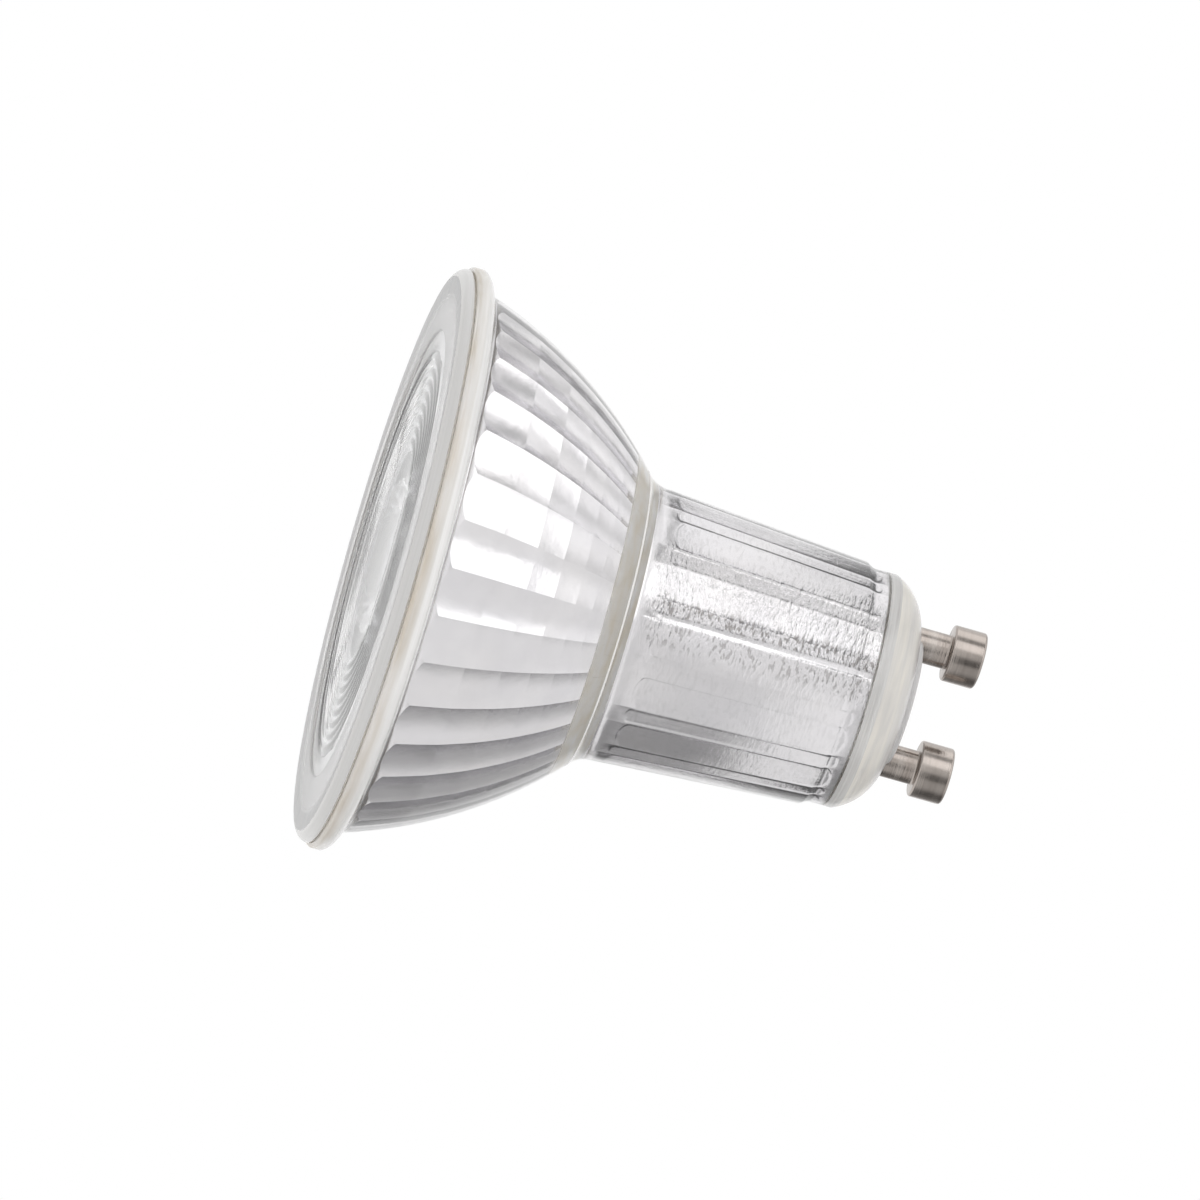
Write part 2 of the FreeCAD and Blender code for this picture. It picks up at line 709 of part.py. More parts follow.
def electrolytic_capacitor():
    """The smoothing capacitor: a can along the board, with a crimped groove near its seal."""
    over = "Layout.driver_back + Sizes.capacitor_radius"
    start = along_board("Sizes.capacitor_share") + " - Sizes.capacitor_length / 2"
    can = rod("capacitor_can", "Sizes.capacitor_radius", "Sizes.capacitor_length", ("0", over, start))
    crimp = start + " + 2 * Sizes.capacitor_groove_width"
    outer = rod("capacitor_crimp_outer", "2 * Sizes.capacitor_radius", "Sizes.capacitor_groove_width",
                ("0", over, crimp))
    inner = rod("capacitor_crimp_inner", "Sizes.capacitor_radius - Sizes.capacitor_groove_depth",
                "Sizes.capacitor_groove_width", ("0", over, crimp))
    return cut("electrolytic_capacitor", can, [cut("capacitor_crimp", outer, [inner])])


def inductor():
    """A drum core that stands on the board, and the copper winding between its flanges."""
    height = along_board("Sizes.inductor_share")
    over = "Layout.driver_face"
    far = over + " - Sizes.inductor_height + Sizes.inductor_flange"
    near = over + " - Sizes.inductor_flange"
    core = [
        rod("inductor_post", "Sizes.inductor_core_radius", "Sizes.inductor_height",
            ("0", over, height), OUT_OF_BOARD),
        rod("inductor_foot", "Sizes.inductor_radius", "Sizes.inductor_flange",
            ("0", over, height), OUT_OF_BOARD),
        rod("inductor_top", "Sizes.inductor_radius", "Sizes.inductor_flange",
            ("0", far, height), OUT_OF_BOARD),
    ]
    length = "Sizes.inductor_height - 2 * Sizes.inductor_flange"
    coil = rod("inductor_coil", "Sizes.inductor_radius - Sizes.inductor_winding_gap", length,
               ("0", near, height), OUT_OF_BOARD)
    bore = rod("inductor_coil_bore", "Sizes.inductor_core_radius", length,
               ("0", near, height), OUT_OF_BOARD)
    return fuse("inductor_core", core), cut("inductor_winding", coil, [bore])


def fuse_resistor():
    """The fusible resistor across the board: a body with two thicker ends."""
    over = "Layout.driver_face - Sizes.fuse_radius"
    height = along_board("Sizes.fuse_share")
    start = negative("Sizes.fuse_length / 2")
    body = rod("fuse_middle", "Sizes.fuse_radius - Sizes.fuse_waist", "Sizes.fuse_length",
               (start, over, height), ALONG_X)
    left = rod("fuse_left_end", "Sizes.fuse_radius", "Sizes.fuse_end", (start, over, height), ALONG_X)
    right = rod("fuse_right_end", "Sizes.fuse_radius", "Sizes.fuse_end",
                ("Sizes.fuse_length / 2 - Sizes.fuse_end", over, height), ALONG_X)
    return fuse("fuse_resistor", [body, left, right])


def chip_parts():
    """Small surface-mounted parts along the edges of both faces."""
    parts = []
    for face, across, count in (("front", "Sizes.small_part_offset", 3),
                                ("back", negative("Sizes.small_part_offset"), 2)):
        for index in range(count):
            first = along_board("Sizes.small_part_share")
            centre = first + " + %d * Sizes.small_part_spacing" % index
            label = "small_part_%s_%d" % (face, index + 1)
            parts.append(board_block(label, "small_part", centre, face, across))
    return group("chip_parts", parts)


# Contact pins, and what holds them and the driver in the base
def contact_pin(label, offset):
    """A turned pin with a round head, riveted inside the glass over a washer."""
    pin = turned(label, [
        (AXIS, "rivet_top"),
        ("pin_rivet_radius", "rivet_top"),
        ("pin_rivet_radius", "washer_top"),
        ("pin_radius", "washer_top"),
        ("pin_radius", "pin_shoulder"),
        ("pin_head_face_radius", "pin_shoulder"),
        ("pin_head_radius", "pin_shoulder_side"),
        ("pin_head_radius", "pin_tip_side"),
        ("pin_head_face_radius", "pin_tip"),
        (AXIS, "pin_tip"),
    ])
    pin.setExpression("Placement.Base.x", offset)
    return pin


def pin_washers():
    """The two washers under the rivets, on the floor of the glass."""
    washers = []
    for side, offset in PIN_PLACES:
        place = (offset, "0", "Layout.washer_top")
        disc = rod("washer_disc_" + side, "Sizes.washer_radius", "Sizes.washer_thickness", place)
        bore = rod("washer_bore_" + side, "Layout.pin_hole_radius", "Sizes.washer_thickness", place)
        washers.append(cut("washer_" + side, disc, [bore]))
    return group("pin_washers", washers)


def base_potting():
    """The potting on the floor of the glass, which the driver board stands on."""
    place = ("0", "0", "Layout.potting_top")
    disc = rod("potting_disc", "Layout.potting_radius", "Sizes.potting_height", place)
    holes = [
        rod("potting_hole_" + side, "Sizes.washer_radius + Sizes.potting_washer_gap",
            "Sizes.potting_height", (offset, "0", "Layout.potting_top"))
        for side, offset in PIN_PLACES
    ]
    return cut("base_potting", disc, holes)


def mains_lead(label, offset):
    """A lead from a pin's rivet up along the board."""
    start = "Layout.rivet_top - Sizes.mains_lead_length"
    return rod(label, "Sizes.mains_lead_radius", "Sizes.mains_lead_length", (offset, "0", start))


def led_lead(label, offset):
    """A lead from the driver board through the heat sink to the light board."""
    length = "Layout.led_lead_end - Layout.led_lead_start"
    place = (offset, "Layout.led_lead_across", "Layout.led_lead_start")
    return rod(label, "Sizes.led_lead_radius", length, place)


inductor_core, inductor_winding = inductor()
(_, live_place), (_, neutral_place) = PIN_PLACES
(_, positive_place), (_, negative_place) = LED_LEAD_PLACES
NODES = [
    glass_envelope(),
    front_lens(),
    lens_adhesive(),
    stack_disc("led_board", "Layout.led_board_front", "Sizes.led_board_thickness"),
    led_chips(),
    stack_disc("thermal_pad", "Layout.pad_front", "Sizes.pad_thickness"),
    heat_sink(),
    waist_adhesive(),
    board_screws(),
    driver_sleeve(),
    driver_board(),
    electrolytic_capacitor(),
    board_block("film_capacitor", "film", along_board("Sizes.film_share"), "back"),
    inductor_core,
    inductor_winding,
    board_block("driver_chip", "chip", along_board("Sizes.chip_share"), "front"),
    board_block("bridge_rectifier", "bridge", along_board("Sizes.bridge_share"), "front"),
    fuse_resistor(),
    chip_parts(),
    contact_pin("live_pin", live_place),
    contact_pin("neutral_pin", neutral_place),
    pin_washers(),
    base_potting(),
    mains_lead("live_lead", live_place),
    mains_lead("neutral_lead", neutral_place),
    led_lead("led_lead_positive", positive_place),
    led_lead("led_lead_negative", negative_place),
]

# Check every object, then write one file for each piece
doc.recompute()
for item in doc.Objects:
    if "Invalid" in item.State or "Error" in item.State:
        raise RuntimeError(item.Name + " failed: " + ", ".join(item.State))
for node in NODES:
    if node.Shape.isNull() or not node.Shape.isValid() or not node.Shape.Solids:
        raise RuntimeError(node.Label + " has no sound shape")
os.makedirs("parts", exist_ok=True)
for node in NODES:
    node.Shape.exportStep("parts/" + node.Label + ".step")
    print("%-24s %3d solid(s) %10.2f mm3" % (node.Label, len(node.Shape.Solids), node.Shape.Volume))
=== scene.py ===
# %% [markdown]
# # A GU10 reflector lamp in pressed glass
#
# The lamp is a thick glass envelope, silvered on the inside, with a clear lens glued on its front
# and two nickel pins in its base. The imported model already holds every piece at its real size.
# This lesson gives the lamp its finish: finer glass, a silver coat on the flutes, and the metals,
# plastics and laminates of the parts inside.

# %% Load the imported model
import json
import math

import bmesh
import bpy
from mathutils import Matrix, Vector

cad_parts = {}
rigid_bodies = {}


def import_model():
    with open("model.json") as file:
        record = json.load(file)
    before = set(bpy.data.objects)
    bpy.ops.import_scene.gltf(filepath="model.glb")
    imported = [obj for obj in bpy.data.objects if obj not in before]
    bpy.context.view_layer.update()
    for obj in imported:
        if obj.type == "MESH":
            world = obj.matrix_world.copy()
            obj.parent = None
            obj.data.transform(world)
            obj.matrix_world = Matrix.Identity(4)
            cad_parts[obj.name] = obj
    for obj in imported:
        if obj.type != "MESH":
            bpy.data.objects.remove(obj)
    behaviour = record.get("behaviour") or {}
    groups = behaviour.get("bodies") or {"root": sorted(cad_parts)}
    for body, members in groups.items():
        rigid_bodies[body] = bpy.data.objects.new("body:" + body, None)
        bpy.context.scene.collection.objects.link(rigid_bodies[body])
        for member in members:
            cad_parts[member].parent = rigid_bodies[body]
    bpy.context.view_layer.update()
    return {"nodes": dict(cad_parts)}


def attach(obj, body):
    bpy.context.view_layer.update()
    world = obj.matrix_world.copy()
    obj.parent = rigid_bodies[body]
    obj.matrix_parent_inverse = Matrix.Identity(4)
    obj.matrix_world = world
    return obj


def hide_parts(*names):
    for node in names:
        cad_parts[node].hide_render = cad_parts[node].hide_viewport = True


bpy.ops.object.select_all(action="SELECT")
bpy.ops.object.delete()
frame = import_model()
MM = 0.001
TOUCHING = 0.002 * MM
print("nodes:", len(frame["nodes"]))

# %% [markdown]
# ## Helpers for modelling
#
# Almost everything on the lamp is turned or pressed, so it is round about the Z axis. A lathe in
# Blender is the Spin operator: a profile is drawn point by point, and then spun through a full
# turn. Every operator acts on what is selected, so each piece starts by clearing the selection
# that the import left behind. Points that touch, to within 0.002 mm, are merged.


# %% Places round the lamp's axis
def around(radius, angle, height):
    """A place in metres, from a radius and height in millimetres and an angle in degrees."""
    turn = math.radians(angle)
    return Vector((radius * math.cos(turn), radius * math.sin(turn), height)) * MM


# %% A line of points, drawn by extruding one point after another
def draw_line(name, places):
    """A new object at the origin whose mesh is a line through the places."""
    bpy.ops.object.select_all(action="DESELECT")
    bpy.ops.mesh.primitive_plane_add(size=MM, location=(0, 0, 0))
    piece = bpy.context.object
    piece.name = name
    bpy.ops.object.mode_set(mode="EDIT")
    bpy.ops.mesh.select_all(action="SELECT")
    bpy.ops.mesh.merge(type="CENTER")
    bpy.ops.transform.translate(value=places[0])
    for here, there in zip(places, places[1:]):
        bpy.ops.mesh.extrude_vertices_move(TRANSFORM_OT_translate={"value": there - here})
    return piece


# %% Arcs for the rounded stretches of a profile
def arc(start, end, bulge, count):
    """Points along an arc from start to end; a positive bulge stands out to the right of travel."""
    chord = Vector(end) - Vector(start)
    radius = chord.length ** 2 / (8 * abs(bulge)) + abs(bulge) / 2
    outward = Vector((chord.y, -chord.x)).normalized() * math.copysign(1, bulge)
    centre = (Vector(start) + Vector(end)) / 2 - outward * (radius - abs(bulge))
    half = math.asin(min(1, chord.length / 2 / radius))
    points = []
    for index in range(count + 1):
        angle = half * (2 * index / count - 1)
        along = chord.normalized() * math.sin(angle) + outward * math.cos(angle)
        points.append(tuple(centre + along * radius))
    return points


# %% The lathe
def close_mesh(smooth_angle=30):
    """Merge doubles, turn the faces outwards, leave edit mode and shade smoothly."""
    bpy.ops.mesh.select_all(action="SELECT")
    bpy.ops.mesh.remove_doubles(threshold=TOUCHING)
    bpy.ops.mesh.normals_make_consistent(inside=False)
    bpy.ops.object.mode_set(mode="OBJECT")
    bpy.ops.object.shade_smooth_by_angle(angle=math.radians(smooth_angle))


def turn(name, profile, steps, angle=0.0):
    """Draw a profile of (radius, height) points and spin it about the lamp's axis."""
    piece = draw_line(name, [around(radius, angle, height) for radius, height in profile])
    bpy.ops.mesh.select_all(action="SELECT")
    bpy.ops.mesh.spin(steps=steps, angle=2 * math.pi, center=(0, 0, 0), axis=(0, 0, 1))
    return piece


# %% [markdown]
# ## The glass envelope, outside
#
# The real envelope is pressed in one go, with a smooth outside: a thick rim, a bowl like a bell, a
# plain waist, a long tapered neck and a rounded base with a raised boss between the pins. All of
# it is turned, so one profile and one spin make it. The corners are small arcs, because pressed
# glass has no sharp edge and the arcs catch the bright lines that make it look like glass.

# %% The outer profile of the glass, in millimetres
GLASS_FRONT = 1.1
BOWL_START = 2.85
BOWL_END = 20.25
NECK_START = 22.2
NECK_END = 39.6
CAP_START = 40.3
CAP_END = 42.3
END_FACE = 45.2
BOSS_FACE = 45.9
RIM_RADIUS = 25.0
RIM_FLAT = 24.7
RIM_BACK = 2.1
RIM_FOOT = 23.6
MOUTH_RADIUS = 22.4
BOWL_MOUTH_RADIUS = 23.3
BOWL_END_RADIUS = 12.3
BOWL_BULGE = 1.39
NECK_RADIUS = 11.7
NECK_END_RADIUS = 10.46
CAP_RADIUS = 10.08
END_RADIUS = 6.88
BOSS_RADIUS = 5.5
FLUTES = 34
NECK_PAIRS = 14
RING_POINTS = FLUTES * NECK_PAIRS
FLUTE_PHASE = 3.9
print("sizes named; points round the glass:", RING_POINTS)

# %% The profile of the outside, and its spin
# Radius and height of the fine raised line where the two halves of the mould met.
MOULD_LINE = ((12.83, 19.75), (12.81, 19.82), (12.72, 19.9), (12.58, 19.94))

bowl_arc = arc((BOWL_MOUTH_RADIUS, BOWL_START), (BOWL_END_RADIUS, BOWL_END), BOWL_BULGE, 44)
bowl_arc = [place for place in bowl_arc if place[1] < MOULD_LINE[0][1] - 0.05]
bowl_arc += [*MOULD_LINE, (BOWL_END_RADIUS, BOWL_END)]
outside = [(MOUTH_RADIUS, GLASS_FRONT), (RIM_FLAT - 0.2, GLASS_FRONT)]
outside += arc((RIM_FLAT, GLASS_FRONT), (RIM_RADIUS, GLASS_FRONT + 0.3), 0.085, 4)
outside += arc((RIM_RADIUS, RIM_BACK), (RIM_FOOT, BOWL_START), 0.25, 8)
outside += bowl_arc[1:]
outside += arc((BOWL_END_RADIUS, BOWL_END), (NECK_RADIUS, NECK_START), -0.18, 8)[1:]
outside += [(NECK_END_RADIUS, NECK_END), (NECK_END_RADIUS - 0.12, NECK_END + 0.15)]
outside += [(CAP_RADIUS + 0.06, CAP_START - 0.15), (CAP_RADIUS, CAP_START + 0.1)]
outside += [(CAP_RADIUS, CAP_END - 0.7)]
outside += arc((CAP_RADIUS, CAP_END), (END_RADIUS, END_FACE), 0.5, 14)
outside += arc((BOSS_RADIUS + 0.25, END_FACE), (BOSS_RADIUS + 0.02, END_FACE + 0.2), -0.05, 3)
outside += arc((BOSS_RADIUS, BOSS_FACE - 0.3), (BOSS_RADIUS - 0.3, BOSS_FACE), 0.085, 4)
outside += [(0, BOSS_FACE)]
envelope = turn("glass_envelope", outside, RING_POINTS, FLUTE_PHASE)
bpy.ops.object.mode_set(mode="OBJECT")
print("outer shell:", len(envelope.data.polygons), "faces")

# %% [markdown]
# ## The fluted inside of the bowl
#
# Inside, the bowl has thirty-four shallow flutes that bulge towards the axis and meet in sharp
# creases. Each flute is broken lengthwise into flat facets. Its first facet comes out of a plain
# band behind the rim at a slight angle, and that gives the flute its rounded tip. One flute is
# modelled as a strip: its first row of points is drawn, and each further row is extruded and pulled
# into place. The strip is then repeated round the axis with Spin's duplicate option.

# %% Radii of the plain band and of a flute
BOWL_WALL = 1.2
FLUTE_DEPTH = 0.12
COLUMNS = RING_POINTS // FLUTES
ROWS = [7.3, 10.42, 12.92, 14.92, 16.52, 17.8]
BAND_END = 4.05
BAND_SLOPE = 0.1


def bowl_outside(height):
    """The outer radius of the bowl at a height, from its arc."""
    start = Vector((BOWL_MOUTH_RADIUS, BOWL_START))
    end = Vector((BOWL_END_RADIUS, BOWL_END))
    chord = end - start
    radius = chord.length ** 2 / (8 * BOWL_BULGE) + BOWL_BULGE / 2
    outward = Vector((chord.y, -chord.x)).normalized()
    centre = (start + end) / 2 - outward * (radius - BOWL_BULGE)
    return centre.x + math.sqrt(radius ** 2 - (height - centre.y) ** 2)


def scallop(cusp, depth, span, offset):
    """The radius of an arc that bulges towards the axis, at an angle from its middle."""
    half = math.radians(span) / 2
    reach = cusp * math.sin(half)
    sag = cusp * math.cos(half) - depth
    radius = (reach ** 2 + depth ** 2) / (2 * depth)
    centre = sag + radius
    side = centre * math.sin(math.radians(offset))
    return centre * math.cos(math.radians(offset)) - math.sqrt(radius ** 2 - side ** 2)


def flute_radius(height, offset):
    """The radius of a flute's face: straight between its rows, from the mouth to the waist."""
    levels = [BOWL_START] + ROWS
    cusps = [bowl_outside(level) - BOWL_WALL for level in levels]
    span = 360 / FLUTES
    radii = [scallop(cusp, FLUTE_DEPTH * cusp / cusps[0], span, offset) for cusp in cusps]
    for low, high, first, second in zip(levels, levels[1:], radii, radii[1:]):
        if height <= high:
            return first + (second - first) * (height - low) / (high - low)
    return radii[-1]


def band_radius(height):
    """The radius of the plain band behind the rim, which is almost straight along the axis."""
    return bowl_outside(BAND_END) - BOWL_WALL + BAND_SLOPE * (BAND_END - height)


def tip_height(offset):
    """Where a flute's first facet comes out of the plain band."""
    heights = (BOWL_START, ROWS[0])
    first, last = [flute_radius(height, offset) - band_radius(height) for height in heights]
    return heights[0] + (heights[1] - heights[0]) * first / (first - last)


# %% The rows of points along one flute
def column_angles(start, spans, counts):
    """The angles of the points across one or more panels."""
    angles = [start]
    for span, count in zip(spans, counts):
        angles += [angles[-1] + span * (step + 1) / count for step in range(count)]
    return angles


flute_span = 360 / FLUTES
flute_angles = column_angles(FLUTE_PHASE, [flute_span], [COLUMNS])
offsets = [angle - FLUTE_PHASE - flute_span / 2 for angle in flute_angles]
tips = [tip_height(offset) for offset in offsets]
print("tips of the flutes from", round(min(tips), 2), "to", round(max(tips), 2), "mm")

# %% The rows of the inner wall, from the mouth to the end of the waist
WAIST_START = ROWS[-1]
LEDGE_RADIUS = BOWL_END_RADIUS + 0.8
WAIST_SLOPE = 0.875
WAIST_END = 20.5
waist_radius = LEDGE_RADIUS - WAIST_SLOPE * (WAIST_END - WAIST_START)


def level_row(radius, height):
    """A row of points at one radius and height."""
    return [(radius, height)] * len(offsets)


flute_rows = [
    level_row(MOUTH_RADIUS, GLASS_FRONT),
    level_row(MOUTH_RADIUS, BOWL_START),
    level_row(band_radius(BOWL_START), BOWL_START),
    [(band_radius(tip), tip) for tip in tips],
]
flute_rows += [[(flute_radius(row, offset), row) for offset in offsets] for row in ROWS]
flute_rows += [level_row(LEDGE_RADIUS, WAIST_START), level_row(waist_radius, WAIST_END)]
print("rows of points:", len(flute_rows))


# %% A strip of faces, pulled row by row
def pull_row(piece, places):
    """Extrude the selected row of edges, then pull each new point to its place."""
    bpy.ops.mesh.extrude_edges_move(TRANSFORM_OT_translate={"value": (0, 0, 0)})
    mesh = bmesh.from_edit_mesh(piece.data)
    row = sorted((v for v in mesh.verts if v.select), key=lambda v: math.atan2(v.co.y, v.co.x))
    indices = [v.index for v in row]
    for index, place in zip(indices, places):
        mesh = bmesh.from_edit_mesh(piece.data)
        mesh.verts.ensure_lookup_table()
        bpy.ops.mesh.select_all(action="DESELECT")
        mesh.verts[index].select = True
        mesh.select_flush_mode()
        bpy.ops.transform.translate(value=place - mesh.verts[index].co)
    mesh = bmesh.from_edit_mesh(piece.data)
    mesh.verts.ensure_lookup_table()
    for index in indices:
        mesh.verts[index].select = True
    mesh.select_flush(True)


def strip_places(angles, rows):
    """The places of a strip's points, row by row, in metres."""
    return [[around(radius, angle, height) for angle, (radius, height) in zip(angles, row)]
            for row in rows]


def pull_strip(name, places):
    """One strip of the inner wall, from its first row of points to its last."""
    piece = draw_line(name, places[0])
    bpy.ops.mesh.select_all(action="SELECT")
    for row in places[1:]:
        pull_row(piece, row)
    return piece


# %% Sharp creases, and the strip repeated round the axis
def mark_creases(piece, lines):
    """Mark the edges that run along some lines of places as sharp."""
    bpy.ops.mesh.select_all(action="DESELECT")
    mesh = bmesh.from_edit_mesh(piece.data)
    for edge in mesh.edges:
        edge.select = any(
            all(min((vert.co - place).length for place in line) < TOUCHING for vert in edge.verts)
            for line in lines)
    bmesh.update_edit_mesh(piece.data)
    bpy.ops.mesh.mark_sharp()


def repeat_strip(piece, count):
    """Repeat the strip round the axis, and leave edit mode."""
    bpy.ops.mesh.select_all(action="SELECT")
    share = (count - 1) / count
    bpy.ops.mesh.spin(steps=count - 1, dupli=True, angle=2 * math.pi * share,
                      center=(0, 0, 0), axis=(0, 0, 1))
    bpy.ops.mesh.select_all(action="SELECT")
    bpy.ops.mesh.remove_doubles(threshold=TOUCHING)
    bpy.ops.object.mode_set(mode="OBJECT")


# %% The fluted wall
flute_places = strip_places(flute_angles, flute_rows)
bowl_inside = pull_strip("bowl_inside", flute_places)
flute_sides = [[row[side] for row in flute_places[3:]] for side in (0, -1)]
mark_creases(bowl_inside, flute_places[1:] + flute_sides)
repeat_strip(bowl_inside, FLUTES)
print("fluted wall:", len(bowl_inside.data.vertices), "points")

# %% [markdown]
# ## The panelled inside of the neck
#
# The neck repeats the idea with wide and narrow panels in turn. They are sunk a little into the
# plain wall, and their sides and ends are rounded where the mould's ribs faded out. One pair of
# panels is pulled as a strip and repeated fourteen times. Both inner walls have the same number of
# points round them, so the two rings of edges between them can be bridged.

# %% Sizes of the panels
NECK_WALL = 1.15
PANEL_DEPTH = 0.05
PANEL_SIDE = 0.09
NECK_PHASE = -1.5
NECK_TOP = 20.7
PANEL_TOP = 22.5
PANEL_BOTTOM = 40.9
PANEL_END = CAP_END - 0.8
PANEL_RISE = 0.9
PANEL_ROUND = 0.35
ROUND_SHARES = (0, 0.1, 0.4, 1)
FLOOR_STEP = 0.6
NARROW_SHARE = 0.333
NARROW_POINTS = 11
pair_span = 360 / NECK_PAIRS
narrow_span = pair_span * NARROW_SHARE
pair_counts = (NARROW_POINTS, RING_POINTS // NECK_PAIRS - NARROW_POINTS)
pair_spans = (narrow_span, pair_span - narrow_span)
pair_angles = column_angles(NECK_PHASE, pair_spans, pair_counts)
neck_slope = (NECK_RADIUS - NECK_END_RADIUS) / (NECK_END - NECK_START)
print("a wide and a narrow panel take", round(pair_span, 2), "degrees")


# %% Rows of points along a pair of panels
def neck_wall(height):
    """The radius of the plain inner wall of the neck, which its creases lie on."""
    return NECK_RADIUS - NECK_WALL - neck_slope * (height - NECK_START)


def level_wall(height):
    """A row on the plain wall."""
    return [(neck_wall(height), height)] * len(pair_angles)


def panel_place(angle):
    """The span of the panel that an angle lies in, and the angle from the panel's middle."""
    along = angle - NECK_PHASE
    if along <= narrow_span:
        return pair_spans[0], along - narrow_span / 2
    return pair_spans[1], along - narrow_span - pair_spans[1] / 2


def panel_row(end, share):
    """A row of points near a panel's rounded end: a share of the way down into the panel.

    The last point is the first of the next strip, so that the two are welded.
    """
    into_panel = 1 if end == PANEL_TOP else -1
    row = []
    for angle in pair_angles[:-1]:
        span, offset = panel_place(angle)
        side = min(1, abs(offset) / (span / 2))
        rise = PANEL_RISE * span / pair_spans[1] * (1 - math.sqrt(1 - side ** 2))
        height = end + into_panel * (rise + PANEL_ROUND * share)
        flank = min(1, (1 - side) * span / pair_span / PANEL_SIDE)
        sunk = PANEL_DEPTH * math.sin(share * math.pi / 2) * math.sin(flank * math.pi / 2)
        row.append((neck_wall(height) - sunk, height))
    return row + row[:1]


# %% One pair of panels, repeated
panel_rows = [level_wall(NECK_TOP)]
panel_rows += [panel_row(PANEL_TOP, share) for share in ROUND_SHARES]
panel_rows += [panel_row(PANEL_BOTTOM, share) for share in reversed(ROUND_SHARES)]
panel_rows += [level_wall(PANEL_END)]
panel_rows += [[(neck_wall(PANEL_END) - FLOOR_STEP, CAP_END)] * len(pair_angles)]
panel_places = strip_places(pair_angles, panel_rows)
neck_inside = pull_strip("neck_inside", panel_places)
mark_creases(neck_inside, [panel_places[0], panel_places[-2]])
repeat_strip(neck_inside, NECK_PAIRS)
print("panelled wall:", len(neck_inside.data.vertices), "points")

# %% [markdown]
# ## One closed piece of glass
#
# The outer shell and the two inner walls are joined to one mesh. The mouth ring of both shells has
# the same points, so merging doubles welds it. The throat is closed by a bridge between two rings,
# the floor by a ring that is extruded to the axis, and the pin holes are cut with a Boolean.

# %% Join the walls, bridge the throat and close the floor
bpy.ops.object.select_all(action="DESELECT")
for wall in (bowl_inside, neck_inside, envelope):
    wall.select_set(True)
bpy.context.view_layer.objects.active = envelope
bpy.ops.object.join()


def select_edge_rings(piece, heights, radius_limit):
    """Select the open edges at some heights, within a radius, in millimetres."""
    bpy.ops.mesh.select_all(action="DESELECT")
    mesh = bmesh.from_edit_mesh(piece.data)
    for edge in mesh.edges:
        middle = (edge.verts[0].co + edge.verts[1].co) / 2 / MM
        inside = middle.xy.length < radius_limit
        at_height = any(abs(middle.z - height) < 0.01 for height in heights)
        edge.select = edge.is_boundary and inside and at_height
    bmesh.update_edit_mesh(piece.data)


bpy.ops.object.mode_set(mode="EDIT")
bpy.ops.mesh.select_mode(type="EDGE")
bpy.ops.mesh.select_all(action="SELECT")
bpy.ops.mesh.remove_doubles(threshold=TOUCHING)
select_edge_rings(envelope, (WAIST_END, NECK_TOP), 12)
bpy.ops.mesh.bridge_edge_loops()
select_edge_rings(envelope, (CAP_END,), 10)
bpy.ops.mesh.extrude_edges_move(TRANSFORM_OT_translate={"value": (0, 0, 0)})
bpy.ops.mesh.merge(type="CENTER")
bpy.ops.mesh.select_mode(type="VERT")
close_mesh(35)


# %% Cut the two pin holes
def open_edges(piece):
    """How many edges of a piece belong to other than two faces."""
    mesh = bmesh.new()
    mesh.from_mesh(piece.data)
    count = sum(1 for edge in mesh.edges if len(edge.link_faces) != 2)
    mesh.free()
    return count


PIN_OFFSET = 5.0
PIN_HOLE_RADIUS = 1.5
print("open edges before the holes:", open_edges(envelope))
for side in (1, -1):
    bpy.ops.object.select_all(action="DESELECT")
    bpy.ops.mesh.primitive_cylinder_add(
        vertices=72, radius=PIN_HOLE_RADIUS * MM, depth=8 * MM,
        location=(side * PIN_OFFSET * MM, 0, (CAP_END + BOSS_FACE) / 2 * MM))
    drill = bpy.context.object
    bpy.ops.object.transform_apply(location=True, rotation=True, scale=True)
    bpy.ops.object.select_all(action="DESELECT")
    envelope.select_set(True)
    bpy.context.view_layer.objects.active = envelope
    hole = envelope.modifiers.new("pin hole", "BOOLEAN")
    hole.operation = "DIFFERENCE"
    hole.solver = "EXACT"
    hole.object = drill
    bpy.ops.object.modifier_apply(modifier=hole.name)
    bpy.data.objects.remove(drill)
print("envelope:", len(envelope.data.polygons), "faces, open edges:", open_edges(envelope))

# %% [markdown]
# ## The front lens
#
# The lens is one clear moulding: a flat cover with a shallow recess, a raised ring and a dished
# centre, a step that locates it in the glass, and the collimator that stands on the light board.
# It is turned like the outside of the glass. Its corners are rounded a little, as a mould leaves
# them, and the step between the recess and the ring shows as thin bright circles. The real recess
# is covered with fine beads. Thousands of beads would cost far more than they show from the side,
# so eight shallow rings stand in for them.

# %% Sizes of the lens, in millimetres
LENS_POINTS = 256
LENS_RADIUS = 24.7
LENS_THICKNESS = 0.95
FRONT_RING = (19.3, 23.9)
RECESS = 0.3
DISH_RADIUS = 8.6
DISH_DEPTH = 0.6
STEP_RADIUS = 17.6
STEP_DEPTH = 0.18
SPIGOT_RADIUS = 22.2
SPIGOT_END = 1.7
COLLIMATOR_RADIUS = 8.84
COLLIMATOR_END = 4.3
LED_BOARD_FRONT = 15.9
POCKET_RADIUS = 3.3
POCKET_SIDE = 12.9
POCKET_MIDDLE = 13.5
RIBS = 8
RIB_START = 9.0
RIB_WIDTH = 1.0
RIB_HEIGHT = 0.09
ROUND = 0.05
print("lens:", 2 * LENS_RADIUS, "mm across, with", RIBS, "shallow rings")

